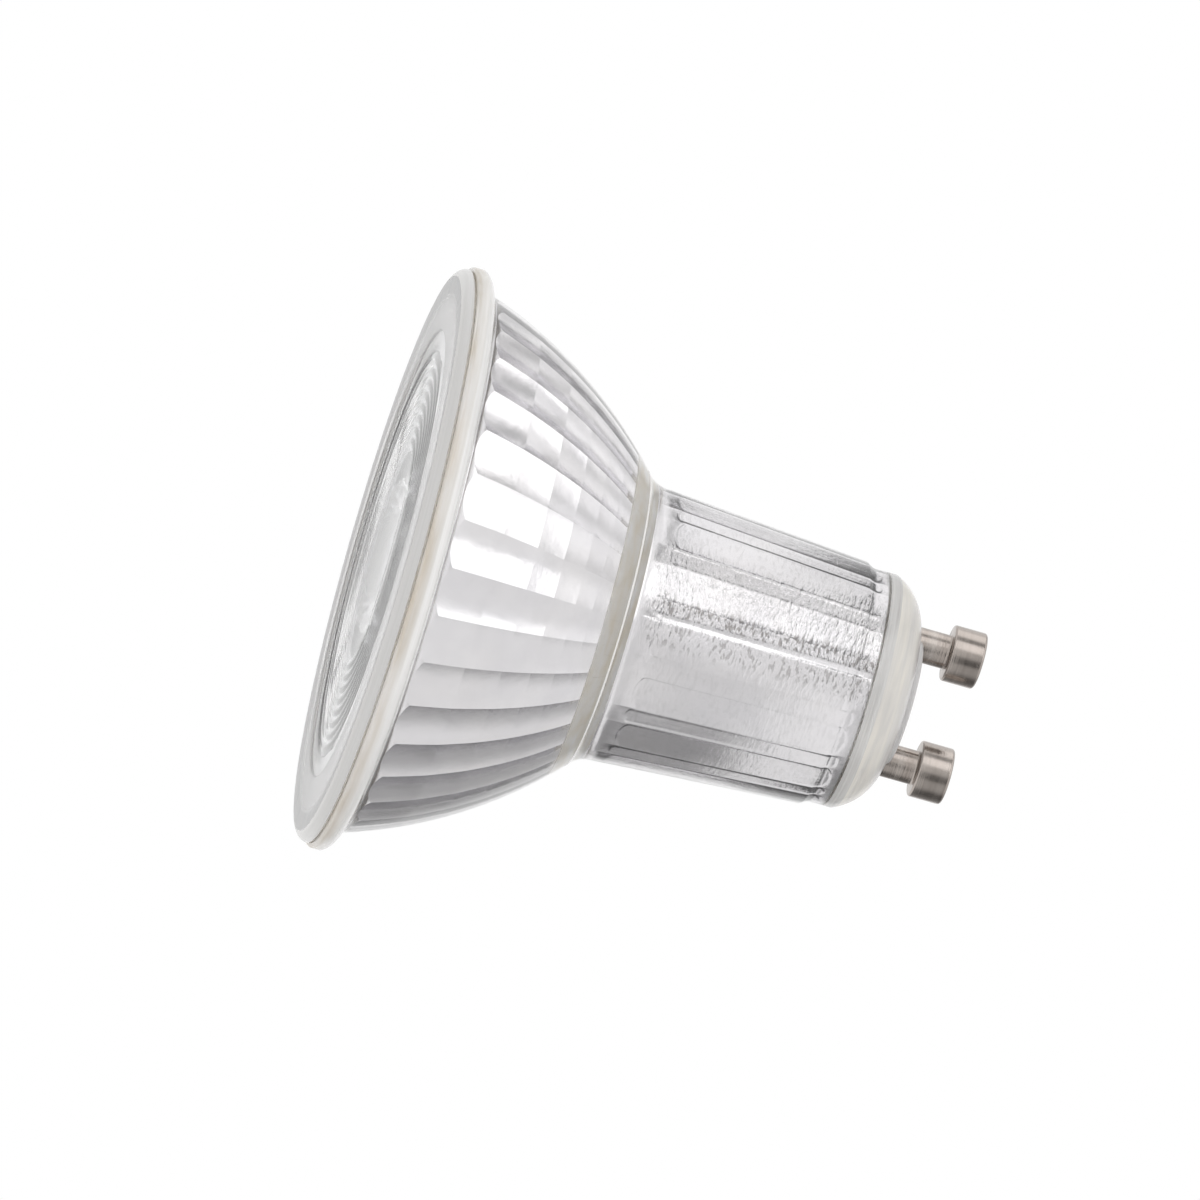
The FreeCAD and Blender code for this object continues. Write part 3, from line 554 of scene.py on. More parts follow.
# %% The front of the lens: dish, rings, recess, step and flat ring
lens_profile = arc((0, DISH_DEPTH), (DISH_RADIUS, RECESS), -0.075, 12)
for start in (RIB_START + RIB_WIDTH * ring for ring in range(RIBS)):
    end = start + RIB_WIDTH
    lens_profile += arc((start + ROUND, RECESS), (end - ROUND, RECESS), RIB_HEIGHT, 6)
lens_profile += arc((STEP_RADIUS - 0.2, RECESS), (STEP_RADIUS, STEP_DEPTH), 0.02, 3)
lens_profile += arc((FRONT_RING[0] - 0.15, STEP_DEPTH), (FRONT_RING[0], 0.02), -0.02, 3)
lens_profile += [(FRONT_RING[0] + 0.1, 0.0), (FRONT_RING[1] - 0.2, 0.0)]
lens_profile += arc((FRONT_RING[1], 0.01), (LENS_RADIUS, LENS_THICKNESS - ROUND), 0.2, 10)
print("points on the front:", len(lens_profile))

# %% The back of the lens: rim, spigot and collimator with the pocket for the light source
lens_profile += [(LENS_RADIUS - 0.04, LENS_THICKNESS), (SPIGOT_RADIUS + ROUND, LENS_THICKNESS)]
lens_profile += arc((SPIGOT_RADIUS, LENS_THICKNESS + ROUND), (SPIGOT_RADIUS - 0.2, SPIGOT_END),
                    0.03, 4)
lens_profile += arc((COLLIMATOR_RADIUS + 0.26, SPIGOT_END),
                    (COLLIMATOR_RADIUS + 0.04, SPIGOT_END + 0.2), -0.04, 3)
lens_profile += arc((COLLIMATOR_RADIUS, SPIGOT_END + 0.3), (COLLIMATOR_END, LED_BOARD_FRONT),
                    0.8, 30)
lens_profile += [(POCKET_RADIUS, LED_BOARD_FRONT)]
lens_profile += arc((POCKET_RADIUS, POCKET_SIDE), (0, POCKET_MIDDLE), 0.13, 10)
lens_profile[0] = (0, DISH_DEPTH)
lens_profile[-1] = (0, POCKET_MIDDLE)
lens = turn("clear_lens", lens_profile, LENS_POINTS)
close_mesh(25)
print("lens:", len(lens.data.polygons), "faces, open edges:", open_edges(lens))

# %% [markdown]
# ## The contact pins
#
# Each pin is turned from rod: a shank that goes through the glass, and a wide round head that
# twists into the lampholder. The head's edges have small rounds, not sharp chamfers, and its face
# is very slightly domed. The pin is turned on the lamp's axis, moved out to its place, and copied.

# %% The profile of a pin
PIN_POINTS = 96
PIN_TIP = 51.1
PIN_SHOULDER = 48.25
RIVET_TOP = 41.3
WASHER_TOP = 41.8
PIN_HEAD_RADIUS = 2.4
HEAD_ROUND = 0.18
RIVET_RADIUS = 1.95
SHANK_RADIUS = 1.45
SHANK_FILLET = 0.15

pin_profile = arc((0, RIVET_TOP), (RIVET_RADIUS, RIVET_TOP + 0.2), 0.05, 5)
pin_profile += [(RIVET_RADIUS, WASHER_TOP), (SHANK_RADIUS, WASHER_TOP)]
pin_profile += arc((SHANK_RADIUS, PIN_SHOULDER - SHANK_FILLET),
                   (SHANK_RADIUS + SHANK_FILLET, PIN_SHOULDER), -0.04, 4)
pin_profile += arc((PIN_HEAD_RADIUS - HEAD_ROUND, PIN_SHOULDER),
                   (PIN_HEAD_RADIUS, PIN_SHOULDER + HEAD_ROUND), 0.05, 5)
pin_profile += arc((PIN_HEAD_RADIUS, PIN_TIP - 0.27), (2.17, PIN_TIP - 0.03), 0.065, 6)
pin_profile += arc((2.1, PIN_TIP - 0.02), (0, PIN_TIP), 0.004, 4)
pin_profile[0] = (0, RIVET_TOP)
pin_profile[-1] = (0, PIN_TIP)
print("pin:", round(PIN_TIP - RIVET_TOP, 1), "mm long")


# %% Turn one pin and move it to the live side
def shift_mesh(distance):
    """Move all points of the active piece along X; its object stays at the origin."""
    bpy.ops.object.mode_set(mode="EDIT")
    bpy.ops.mesh.select_all(action="SELECT")
    bpy.ops.transform.translate(value=(distance * MM, 0, 0))
    bpy.ops.object.mode_set(mode="OBJECT")


live = turn("live_contact_pin", pin_profile, PIN_POINTS)
close_mesh(30)
shift_mesh(PIN_OFFSET)
print("pin:", len(live.data.polygons), "faces, open edges:", open_edges(live))

# %% Copy it to the neutral side
bpy.ops.object.duplicate()
neutral = bpy.context.object
neutral.name = "neutral_contact_pin"
shift_mesh(-2 * PIN_OFFSET)
print("copied pin:", len(neutral.data.polygons), "faces, open edges:", open_edges(neutral))

# %% [markdown]
# ## What the new pieces stand for
#
# The finer glass, lens and pins take the places of four nodes of the imported model, which are
# hidden. They ride on its one body.

# %% Tie the new pieces to the imported model
for piece, packed, slot in (
        (envelope, "glass_body", "envelope_glass"),
        (lens, "front_lens", "lens_glass"),
        (live, "live_pin", "pin_nickel"),
        (neutral, "neutral_pin", "pin_nickel")):
    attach(piece, "root")
    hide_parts(packed)
    print(piece.name, "stands for", packed)

# %% [markdown]
# ## Node groups for what several finishes share
#
# No surface on the lamp has one flat colour. Plastics and laminates vary a little from place to
# place, and metals carry fine lines from rolling or turning. Two node groups hold these effects.
# They put out a mask and a height only, and each material mixes its own colours with them.


# %% A group with named sockets
def new_group(name, inputs, outputs):
    """A shader node group with float or vector inputs and float outputs."""
    group = bpy.data.node_groups.new(name, "ShaderNodeTree")
    for socket, kind, default in inputs:
        item = group.interface.new_socket(socket, in_out="INPUT", socket_type=kind)
        if kind == "NodeSocketFloat":
            item.default_value = default
    for socket in outputs:
        group.interface.new_socket(socket, in_out="OUTPUT", socket_type="NodeSocketFloat")
    return group, group.nodes.new("NodeGroupInput"), group.nodes.new("NodeGroupOutput")


def node(tree, kind, **settings):
    """A node with some of its settings."""
    made = tree.nodes.new(kind)
    for name, setting in settings.items():
        setattr(made, name, setting)
    return made


# %% Cloudy variation with fine grain
def cloud_group():
    """Broad soft patches in Mask, and fine grain in Height."""
    group, given, result = new_group(
        "soft patches and grain",
        [("Vector", "NodeSocketVector", 0), ("Patch Scale", "NodeSocketFloat", 200.0),
         ("Grain Scale", "NodeSocketFloat", 3000.0)],
        ["Mask", "Height"])
    patch = node(group, "ShaderNodeTexNoise")
    patch.inputs["Detail"].default_value = 3
    grain = node(group, "ShaderNodeTexNoise")
    grain.inputs["Detail"].default_value = 2
    for texture, scale in ((patch, "Patch Scale"), (grain, "Grain Scale")):
        group.links.new(given.outputs["Vector"], texture.inputs["Vector"])
        group.links.new(given.outputs[scale], texture.inputs["Scale"])
    group.links.new(patch.outputs[0], result.inputs["Mask"])
    group.links.new(grain.outputs[0], result.inputs["Height"])
    return group


clouds = cloud_group()
print("group:", clouds.name)


# %% Fine lines that run round or along
def line_group():
    """Fine lines: noise that is stretched by a scale for each axis."""
    group, given, result = new_group(
        "fine lines",
        [("Vector", "NodeSocketVector", 0), ("Across", "NodeSocketFloat", 400.0),
         ("Along", "NodeSocketFloat", 4000.0)],
        ["Mask", "Height"])
    scales = node(group, "ShaderNodeCombineXYZ")
    for axis, name in (("X", "Across"), ("Y", "Across"), ("Z", "Along")):
        group.links.new(given.outputs[name], scales.inputs[axis])
    stretched = node(group, "ShaderNodeVectorMath", operation="MULTIPLY")
    group.links.new(given.outputs["Vector"], stretched.inputs[0])
    group.links.new(scales.outputs[0], stretched.inputs[1])
    lines = node(group, "ShaderNodeTexNoise")
    lines.inputs["Scale"].default_value = 1
    lines.inputs["Detail"].default_value = 4
    group.links.new(stretched.outputs[0], lines.inputs["Vector"])
    broad = node(group, "ShaderNodeTexNoise")
    broad.inputs["Scale"].default_value = 0.12
    group.links.new(stretched.outputs[0], broad.inputs["Vector"])
    group.links.new(broad.outputs[0], result.inputs["Mask"])
    group.links.new(lines.outputs[0], result.inputs["Height"])
    return group


fine_lines = line_group()
print("group:", fine_lines.name)

# %% [markdown]
# ## Helpers for finishes
#
# A material here is a shader whose colour, roughness and relief each come from a mask. The helpers
# join masks, mix colours by them, and turn a height into a bump. Blender's noise keeps mostly to
# the middle of its range, so a mask from it is stretched from there.


# %% Masks: products, soft steps and the parts of a place
def math_node(tree, operation, first, second):
    """A Math node between two sockets or numbers."""
    made = node(tree, "ShaderNodeMath", operation=operation)
    for index, given in enumerate((first, second)):
        if isinstance(given, (int, float)):
            made.inputs[index].default_value = given
        else:
            tree.links.new(given, made.inputs[index])
    return made.outputs[0]


def times(tree, first, *others):
    """The product of several masks."""
    for other in others:
        first = math_node(tree, "MULTIPLY", first, other)
    return first


def gradient(tree, value, low, high, dark, light):
    """A smooth step between two levels."""
    step = node(tree, "ShaderNodeMapRange", interpolation_type="SMOOTHSTEP")
    limits = {"From Min": low, "From Max": high, "To Min": dark, "To Max": light}
    for name, number in limits.items():
        step.inputs[name].default_value = number
    tree.links.new(value, step.inputs["Value"])
    return step.outputs[0]


def place_parts(tree, coordinates):
    """The X, Y and Z of a vector."""
    parts = node(tree, "ShaderNodeSeparateXYZ")
    tree.links.new(coordinates, parts.inputs[0])
    return parts.outputs


# %% Colours and values from a mask
NOISE_RANGE = (0.3, 0.7)


def mix_colours(tree, mask, first, second):
    """A colour between two, by a mask that is stretched to its full range."""
    ramp = node(tree, "ShaderNodeValToRGB")
    for stop, position, colour in zip(ramp.color_ramp.elements, NOISE_RANGE, (first, second)):
        stop.position = position
        stop.color = (*colour, 1)
    tree.links.new(mask, ramp.inputs[0])
    return ramp.outputs[0]


def stretch(tree, mask, low, high):
    """A mask mapped from its middle range to a range of values."""
    return gradient(tree, mask, *NOISE_RANGE, low, high)


def mix_in(tree, mask, colour, other):
    """A colour with another one mixed in by a mask."""
    mixed = node(tree, "ShaderNodeMix", data_type="RGBA")
    mixed.inputs[7].default_value = (*other, 1)
    tree.links.new(mask, mixed.inputs[0])
    tree.links.new(colour, mixed.inputs[6])
    return mixed.outputs[2]


# %% A material, a group in it, and its bump
def start_material(name):
    """An empty material with its tree, its shader and its object coordinates."""
    material = bpy.data.materials.new(name)
    material.use_nodes = True
    tree = material.node_tree
    coordinates = node(tree, "ShaderNodeTexCoord").outputs["Object"]
    return material, tree, tree.nodes["Principled BSDF"], coordinates


def put_group(tree, group, coordinates, values):
    """A group in a material, with its own values."""
    placed = node(tree, "ShaderNodeGroup", node_tree=group)
    tree.links.new(coordinates, placed.inputs["Vector"])
    for name, number in values.items():
        placed.inputs[name].default_value = number
    return placed


def bump(tree, shader, height, distance, strength=0.6):
    """Feed a height to the shader's normal; the distance is in metres."""
    lumps = node(tree, "ShaderNodeBump")
    lumps.inputs["Distance"].default_value = distance
    lumps.inputs["Strength"].default_value = strength
    tree.links.new(height, lumps.inputs["Height"])
    tree.links.new(lumps.outputs[0], shader.inputs["Normal"])


# %% A whole finish, and how a piece gets its finishes
def finish(name, first, second, rough, group=None, values=None, relief=0.02, metallic=0.0):
    """A material whose colour, roughness and relief vary over the surface."""
    material, tree, shader, coordinates = start_material(name)
    placed = put_group(tree, group or clouds, coordinates, values or {})
    mask = placed.outputs["Mask"]
    tree.links.new(mix_colours(tree, mask, first, second), shader.inputs["Base Color"])
    tree.links.new(stretch(tree, mask, *rough), shader.inputs["Roughness"])
    shader.inputs["Metallic"].default_value = metallic
    bump(tree, shader, placed.outputs["Height"], relief * MM)
    return material


def dress(piece, *materials):
    """Give a piece these finishes and no others."""
    piece.data.materials.clear()
    for material in materials:
        piece.data.materials.append(material)


# %% [markdown]
# ## Clear glass
#
# The envelope is soda glass with a warm tint, and the lens is a clear moulding. One flat tint
# would look like a render, so it drifts a little over the piece, and a soft bump gives the slow
# ripples that pressing leaves. The lens scatters a little light, so that it reads as a solid.

# %% Clear pressed glass
IOR = 1.5


def clear_glass(name, first, second, roughness, ripple, clearness=1.0):
    """Clear glass or plastic with a faint tint and soft ripples from the mould."""
    material, tree, shader, coordinates = start_material(name)
    placed = put_group(tree, clouds, coordinates, {"Patch Scale": 160.0, "Grain Scale": 420.0})
    tint = mix_colours(tree, placed.outputs["Mask"], first, second)
    tree.links.new(tint, shader.inputs["Base Color"])
    shader.inputs["Roughness"].default_value = roughness
    shader.inputs["IOR"].default_value = IOR
    shader.inputs["Transmission Weight"].default_value = clearness
    bump(tree, shader, placed.outputs["Height"], ripple * MM, 0.4)
    return material


envelope_glass = clear_glass("envelope_glass", (0.95, 0.94, 0.92), (0.975, 0.97, 0.96), 0.04, 0.03)
lens_glass = clear_glass("lens_glass", (0.95, 0.95, 0.945), (0.98, 0.98, 0.98), 0.02, 0.01, 0.93)
print("clear:", envelope_glass.name, "and", lens_glass.name)

# %% [markdown]
# ## The silver coat
#
# The flutes and panels carry a thin film of aluminium on the inside. It is seen from outside
# through the glass, and from the front as a mirror. It could be a shell of its own, but a film has
# no thickness that shows, so it is a finish on the faces that look inwards.
#
# In the neck the film is crinkled across the axis, where the mould drew the glass along. Stretched
# noise makes the folds. They are strongest in one band, weaker in a second one beside it, and fade
# out to smooth silver on both sides, as in the photograph. In those bands the creases are also
# painted darker: this is painted shade, where the neck catches the light.


# %% Where the film in the neck is crinkled
def crinkle_masks(tree, side, height, lines):
    """How far in the neck a place is, how deep its crinkle is, and the painted shade in its folds.
    """
    def across(start, end, first, last):
        """A soft step across the neck, between two distances from its middle in millimetres."""
        return gradient(tree, side, start * MM, end * MM, first, last)

    in_neck = gradient(tree, height, WAIST_END * MM, 23 * MM, 0.03, 1)
    bands = math_node(tree, "ADD", across(-1.75, -1.4, 1, 0.12), across(-1.1, -0.75, 0, 0.5))
    crinkled = times(tree, in_neck, across(2.2, -0.2, 0.1, 1), across(-7.6, -5.9, 0.1, 1),
                     across(-3.0, -2.3, 0.5, 1), bands)
    # Painted shade: the low parts of the crinkle noise are darkened, only in the bands where the
    # neck catches the light.
    painted_fold_shade = times(tree, gradient(tree, lines, 0.47, 0.39, 0, 0.7), across(1.3, 0.3, 0.15, 1),
                  across(-3.3, -2.5, 0.15, 1), in_neck, bands)
    return in_neck, crinkled, painted_fold_shade


# %% The silver coat
# The colour of the painted shade in the creases of the crinkle.
PAINTED_FOLD_SHADE = (0.26, 0.24, 0.23)


def silver_coat():
    """A bright metal film that is smooth on the flutes and crinkled in the neck."""
    material, tree, shader, coordinates = start_material("silver_coat")
    soft = put_group(tree, clouds, coordinates, {"Patch Scale": 260.0, "Grain Scale": 700.0})
    crinkle = put_group(tree, fine_lines, coordinates, {"Across": 1400.0, "Along": 3600.0})
    drawn = put_group(tree, fine_lines, coordinates, {"Across": 2600.0, "Along": 120.0})
    side, _, height = place_parts(tree, coordinates)
    lines = crinkle.outputs["Height"]
    in_neck, crinkled, painted_fold_shade = crinkle_masks(tree, side, height, lines)
    relief = times(tree, lines, crinkled)
    for more in (times(tree, soft.outputs["Height"], 0.08),
                 times(tree, drawn.outputs["Height"], 0.05, in_neck)):
        relief = math_node(tree, "ADD", relief, more)
    colour = mix_colours(tree, soft.outputs["Mask"], (0.81, 0.80, 0.83), (0.89, 0.88, 0.905))
    # The folds are darkened with painted shade, not with a colour of the film.
    tree.links.new(mix_in(tree, painted_fold_shade, colour, PAINTED_FOLD_SHADE), shader.inputs["Base Color"])
    tree.links.new(stretch(tree, soft.outputs["Mask"], 0.12, 0.18), shader.inputs["Roughness"])
    shader.inputs["Metallic"].default_value = 0.95
    bump(tree, shader, relief, 0.2 * MM, 1.0)
    return material


silver = silver_coat()
print("film:", silver.name)

# %% [markdown]
# ## Edges that are satin, not clear
#
# Where the mould closed and where the glass was sealed, the surface isn't clear: the rim, the base
# and the edge and front ring of the lens scatter the light and look milky. They could be painted
# white, but some light still passes, so each transmits a share of it. Fine lines run round the
# axis. Adhesive has crept over some of the edges, and shows as a warm stain that ends at a height.
# In the waist the silicone wets the glass, and its runs show as streaks.


# %% A satin edge
def satin_edge(name, clearness, colours, stain, stain_end, relief=0.04):
    """An edge as the mould leaves it: translucent, with fine lines and a stain up to a height."""
    material, tree, shader, coordinates = start_material(name)
    lines = put_group(tree, fine_lines, coordinates, {"Across": 60.0, "Along": 6000.0})
    smears = put_group(tree, fine_lines, coordinates, {"Across": 130.0, "Along": 1400.0})
    height = place_parts(tree, coordinates)[2]
    plain = mix_colours(tree, lines.outputs["Height"], *colours)
    stained = times(tree, gradient(tree, height, (stain_end - 1.1) * MM, stain_end * MM, 1, 0),
                    stretch(tree, smears.outputs["Height"], 0.3, 1))
    tree.links.new(mix_in(tree, stained, plain, stain), shader.inputs["Base Color"])
    shader.inputs["Roughness"].default_value = 0.22
    shader.inputs["Transmission Weight"].default_value = clearness
    bump(tree, shader, smears.outputs["Height"], relief * MM)
    return material


# %% The edges of the lens
NO_STAIN = 0
EDGE_START = 23.8
BACK_RING_START = 23.2
FRONT_RING_START = 19.0
FRONT_RING_BACK = 0.25
LENS_EDGE, LENS_RING = 1, 2

lens_edge = satin_edge("lens_edge", 0.35, ((0.84, 0.83, 0.81), (0.93, 0.92, 0.91)),
                       (0.86, 0.83, 0.78), 0.4)
lens_ring = satin_edge("lens_ring", 0.75, ((0.78, 0.77, 0.765), (0.93, 0.92, 0.915)),
                       (0.80, 0.76, 0.70), NO_STAIN)
dress(lens, lens_glass, lens_edge, lens_ring)
for face in lens.data.polygons:
    centre = face.center / MM
    radius = centre.xy.length
    at_back = radius > BACK_RING_START and centre.z > LENS_THICKNESS - 0.01
    if radius > EDGE_START or at_back:
        face.material_index = LENS_EDGE
    elif radius > FRONT_RING_START and centre.z < FRONT_RING_BACK:
        face.material_index = LENS_RING
print("finishes on the lens:", [material.name for material in lens.data.materials])

# %% The edges of the glass
rim_edge = satin_edge("rim_edge", 0.35, ((0.90, 0.89, 0.87), (0.97, 0.965, 0.96)),
                      (0.68, 0.60, 0.49), 2.4)
frosted_end = satin_edge("frosted_end", 0.45, ((0.68, 0.665, 0.665), (0.80, 0.79, 0.79)),
                         (0.99, 0.95, 0.87), 45.3, 0.2)
base_band = satin_edge("base_band", 0.55, ((0.74, 0.73, 0.72), (0.95, 0.945, 0.94)),
                       (0.80, 0.76, 0.70), NO_STAIN, 0.1)
waist_wetting = finish("waist_wetting", (0.86, 0.80, 0.69), (0.98, 0.975, 0.965), (0.3, 0.4),
                       fine_lines, {"Across": 2600.0, "Along": 11000.0}, 0.05)
dress(envelope, envelope_glass, silver, rim_edge, waist_wetting, frosted_end, base_band)
GLASS, SILVER, RIM, WAIST, END, BAND = range(6)
print("finishes on the glass:", [material.name for material in envelope.data.materials])


# %% Which finish each face of the glass takes
def is_silvered(face):
    """Whether a face of the glass looks into the cavity, above the mouth and below the floor."""
    centre = face.center / MM
    inward = face.normal.xy.dot(face.center.xy) < -0.1 * face.center.xy.length
    in_bowl = BOWL_START + 0.02 < centre.z < WAIST_START
    in_neck = WAIST_END < centre.z < PANEL_END
    return inward and centre.xy.length > 7 and (in_bowl or in_neck)


def glass_finish(face):
    """The slot for a face of the envelope, from its place and the way it looks."""
    centre = face.center / MM
    inward = face.normal.xy.dot(face.center.xy) < 0
    if centre.xy.length > BOWL_MOUTH_RADIUS and centre.z < BOWL_START + 0.02:
        return RIM
    if inward and WAIST_START < centre.z < WAIST_END:
        return WAIST
    if not inward and centre.z > CAP_END + 0.3:
        return END
    if not inward and centre.z > CAP_END - 0.6:
        return BAND
    if not inward and MOULD_LINE[0][1] < centre.z < MOULD_LINE[-1][1]:
        return RIM
    return SILVER if is_silvered(face) else GLASS


slots = [glass_finish(face) for face in envelope.data.polygons]
for face, slot in zip(envelope.data.polygons, slots):
    face.material_index = slot
print("silvered faces:", slots.count(SILVER))

# %% [markdown]
# ## Nickel pins
#
# The pins are brass with a dull nickel plate, which looks warm and a little brown. Turning leaves
# fine rings round them, so the lines are stretched round the pin and packed closely along it.

# %% Brushed nickel
nickel = finish("pin_nickel", (0.36, 0.315, 0.285), (0.50, 0.455, 0.42), (0.17, 0.27),
                fine_lines, {"Across": 300.0, "Along": 9000.0}, 0.02, 1.0)
for pin in (live, neutral):
    dress(pin, nickel)
print("pins in", nickel.name)

# %% [markdown]
# ## The parts inside
#
# These show through the lens and the clear bands of the glass, and when the glass is taken off.
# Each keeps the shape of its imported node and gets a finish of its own, with two close colours, a
# range of roughness, and grain or drawn lines as its material has them.

# %% Adhesives, light source and heat sink
METAL = 1.0

front_finishes = {
    "lens_adhesive": finish("clear_adhesive", (0.92, 0.88, 0.78), (0.97, 0.955, 0.91), (0.25, 0.4),
                            clouds, {"Patch Scale": 300.0, "Grain Scale": 900.0}),
    "led_board": finish("board_white", (0.80, 0.80, 0.78), (0.86, 0.86, 0.84), (0.4, 0.5)),
    "led_chips": finish("light_chip", (0.86, 0.66, 0.12), (0.92, 0.76, 0.22), (0.35, 0.5),
                        clouds, {"Patch Scale": 900.0, "Grain Scale": 4000.0}),
    "thermal_pad": finish("pad_grey", (0.28, 0.29, 0.30), (0.34, 0.35, 0.36), (0.6, 0.75)),
    "heat_sink": finish("sink_aluminium", (0.62, 0.62, 0.63), (0.72, 0.72, 0.73), (0.3, 0.42),
                        fine_lines, {"Across": 500.0, "Along": 5000.0}, 0.01, METAL),
    "waist_adhesive": finish("waist_silicone", (0.56, 0.49, 0.39), (0.70, 0.68, 0.62), (0.35, 0.5),
                             clouds, {"Patch Scale": 120.0, "Grain Scale": 900.0}),
    "board_screws": finish("screw_steel", (0.50, 0.50, 0.51), (0.62, 0.62, 0.63), (0.25, 0.4),
                           fine_lines, {"Across": 900.0, "Along": 4000.0}, 0.008, METAL),
}
print("finishes in the front:", len(front_finishes))

# %% The driver and what holds it
driver_finishes = {
    "driver_sleeve": finish("sleeve_plastic", (0.78, 0.77, 0.74), (0.84, 0.83, 0.80), (0.4, 0.5)),
    "driver_board": finish("driver_laminate", (0.05, 0.20, 0.09), (0.07, 0.27, 0.12), (0.35, 0.5),
                           clouds, {"Patch Scale": 400.0, "Grain Scale": 2500.0}),
    "electrolytic_capacitor": finish("capacitor_sleeve", (0.03, 0.035, 0.05),
                                     (0.05, 0.055, 0.075), (0.25, 0.35)),
    "film_capacitor": finish("film_case", (0.50, 0.16, 0.05), (0.60, 0.22, 0.08), (0.3, 0.4)),
    "inductor_core": finish("ferrite", (0.05, 0.05, 0.052), (0.09, 0.09, 0.092), (0.5, 0.65)),
    "inductor_winding": finish("winding_copper", (0.45, 0.17, 0.06), (0.70, 0.30, 0.12),
                               (0.25, 0.4), fine_lines, {"Across": 600.0, "Along": 5000.0},
                               0.05, METAL),
    "driver_chip": finish("chip_black", (0.02, 0.02, 0.022), (0.035, 0.035, 0.038), (0.45, 0.6)),
    "bridge_rectifier": finish("bridge_black", (0.022, 0.022, 0.024), (0.04, 0.04, 0.043),
                               (0.4, 0.55)),
    "fuse_resistor": finish("resistor_glaze", (0.10, 0.25, 0.30), (0.14, 0.33, 0.38), (0.2, 0.3)),
    "chip_parts": finish("small_part_ceramic", (0.32, 0.24, 0.16), (0.45, 0.34, 0.22),
                         (0.35, 0.5)),
}
print("finishes on the driver:", len(driver_finishes))

# %% The base and the leads
base_finishes = {
    "pin_washers": finish("washer_steel", (0.50, 0.49, 0.47), (0.62, 0.61, 0.59), (0.3, 0.4),
                          fine_lines, {"Across": 900.0, "Along": 4000.0}, 0.01, METAL),
    "base_potting": finish("base_compound", (0.74, 0.73, 0.70), (0.84, 0.83, 0.80), (0.4, 0.55)),
    "live_lead": finish("lead_brown", (0.20, 0.09, 0.04), (0.26, 0.12, 0.055), (0.35, 0.45)),
    "neutral_lead": finish("lead_blue", (0.03, 0.10, 0.35), (0.045, 0.14, 0.45), (0.35, 0.45)),
    "led_lead_positive": finish("lead_red", (0.45, 0.03, 0.03), (0.58, 0.05, 0.045), (0.35, 0.45)),
    "led_lead_negative": finish("lead_black", (0.02, 0.02, 0.02), (0.035, 0.035, 0.035),
                                (0.35, 0.45)),
}
replaced_finishes = {"glass_body": envelope_glass, "front_lens": lens_glass,
                     "live_pin": nickel, "neutral_pin": nickel}
node_finishes = {**front_finishes, **driver_finishes, **base_finishes, **replaced_finishes}
for name, material in node_finishes.items():
    dress(frame["nodes"][name], material)
print("packed nodes with a finish:", len(node_finishes))

# %% [markdown]
# ## Floor
#
# The lamp stands face down on a pale floor. The photograph looks up at it from just below that
# plane against pure white, so the floor is clear when it is seen from its back. Metal, glass and
# the dull parts see it as white, and for the camera it keeps the lamp's shadow.


# %% Rays, and shaders mixed by them
def is_ray(tree, *kinds):
    """1 for rays of these kinds, from the Light Path node."""
    path = node(tree, "ShaderNodeLightPath")
    mask = path.outputs[kinds[0]]
    for kind in kinds[1:]:
        mask = math_node(tree, "MAXIMUM", mask, path.outputs[kind])
    return mask


def mix_shaders(tree, mask, first, second):
    """One shader where the mask is 0, and another where it is 1."""
    mixed = node(tree, "ShaderNodeMixShader")
    for socket, given in zip(mixed.inputs, (mask, first, second)):
        tree.links.new(given, socket)
    return mixed.outputs[0]


# %% A pale floor that is clear from below
FLOOR_RADIUS = 0.9
FLOOR_DROP = 0.2
FLOOR_GREY = 0.86

bpy.ops.object.select_all(action="DESELECT")
bpy.ops.mesh.primitive_circle_add(vertices=96, radius=FLOOR_RADIUS, fill_type="NGON",
                                  location=(0, 0, -FLOOR_DROP * MM))
floor = bpy.context.object
floor.name = "floor"
bpy.ops.object.transform_apply(location=True, rotation=True, scale=True)

floor_material = bpy.data.materials.new("pale_floor")
floor_material.use_nodes = True
tree = floor_material.node_tree
tree.nodes.clear()
paint = node(tree, "ShaderNodeBsdfDiffuse")
paint.inputs["Color"].default_value = (FLOOR_GREY, FLOOR_GREY, FLOOR_GREY, 1)
glow = node(tree, "ShaderNodeEmission")
glow.inputs["Color"].default_value = (1, 1, 1, 1)
clear = node(tree, "ShaderNodeBsdfTransparent")
from_lamp = is_ray(tree, "Is Glossy Ray", "Is Transmission Ray", "Is Diffuse Ray")
lit_floor = mix_shaders(tree, from_lamp, paint.outputs[0], glow.outputs[0])
from_below = node(tree, "ShaderNodeNewGeometry").outputs["Backfacing"]
one_sided = mix_shaders(tree, from_below, lit_floor, clear.outputs[0])
tree.links.new(one_sided, node(tree, "ShaderNodeOutputMaterial").inputs["Surface"])
floor.data.materials.append(floor_material)
print("floor at", -FLOOR_DROP, "mm")

# %% [markdown]
# ## The studio
#
# Silver shows nothing but its surroundings. The bowl of the real lamp is bright where it mirrors a
# white card, and grey where it mirrors the room, and the pins show a dark line from the camera's
# side. Cards could be placed round the lamp, but they would have to stand outside the picture and
# would light the floor too. So the world itself has soft light and dark patches, for rays that come
# from metal or through glass. The camera sees pure white, and dull surfaces get an even level.


# %% A soft patch of the studio, and a level of light
def towards(tree, direction, aim, low, high, dark, light):
    """A soft patch round a direction; low and high are cosines of the angle from it."""
    dot = node(tree, "ShaderNodeVectorMath", operation="DOT_PRODUCT")
    tree.links.new(direction, dot.inputs[0])
    dot.inputs[1].default_value = Vector(aim).normalized()
    return gradient(tree, dot.outputs["Value"], low, high, dark, light)


def level(tree, strength):
    """White light of a strength that is a number or a socket."""
    light = node(tree, "ShaderNodeBackground")
    light.inputs["Color"].default_value = (1, 1, 1, 1)
    if isinstance(strength, (int, float)):
        light.inputs["Strength"].default_value = strength
    else:
        tree.links.new(strength, light.inputs["Strength"])
    return light.outputs[0]


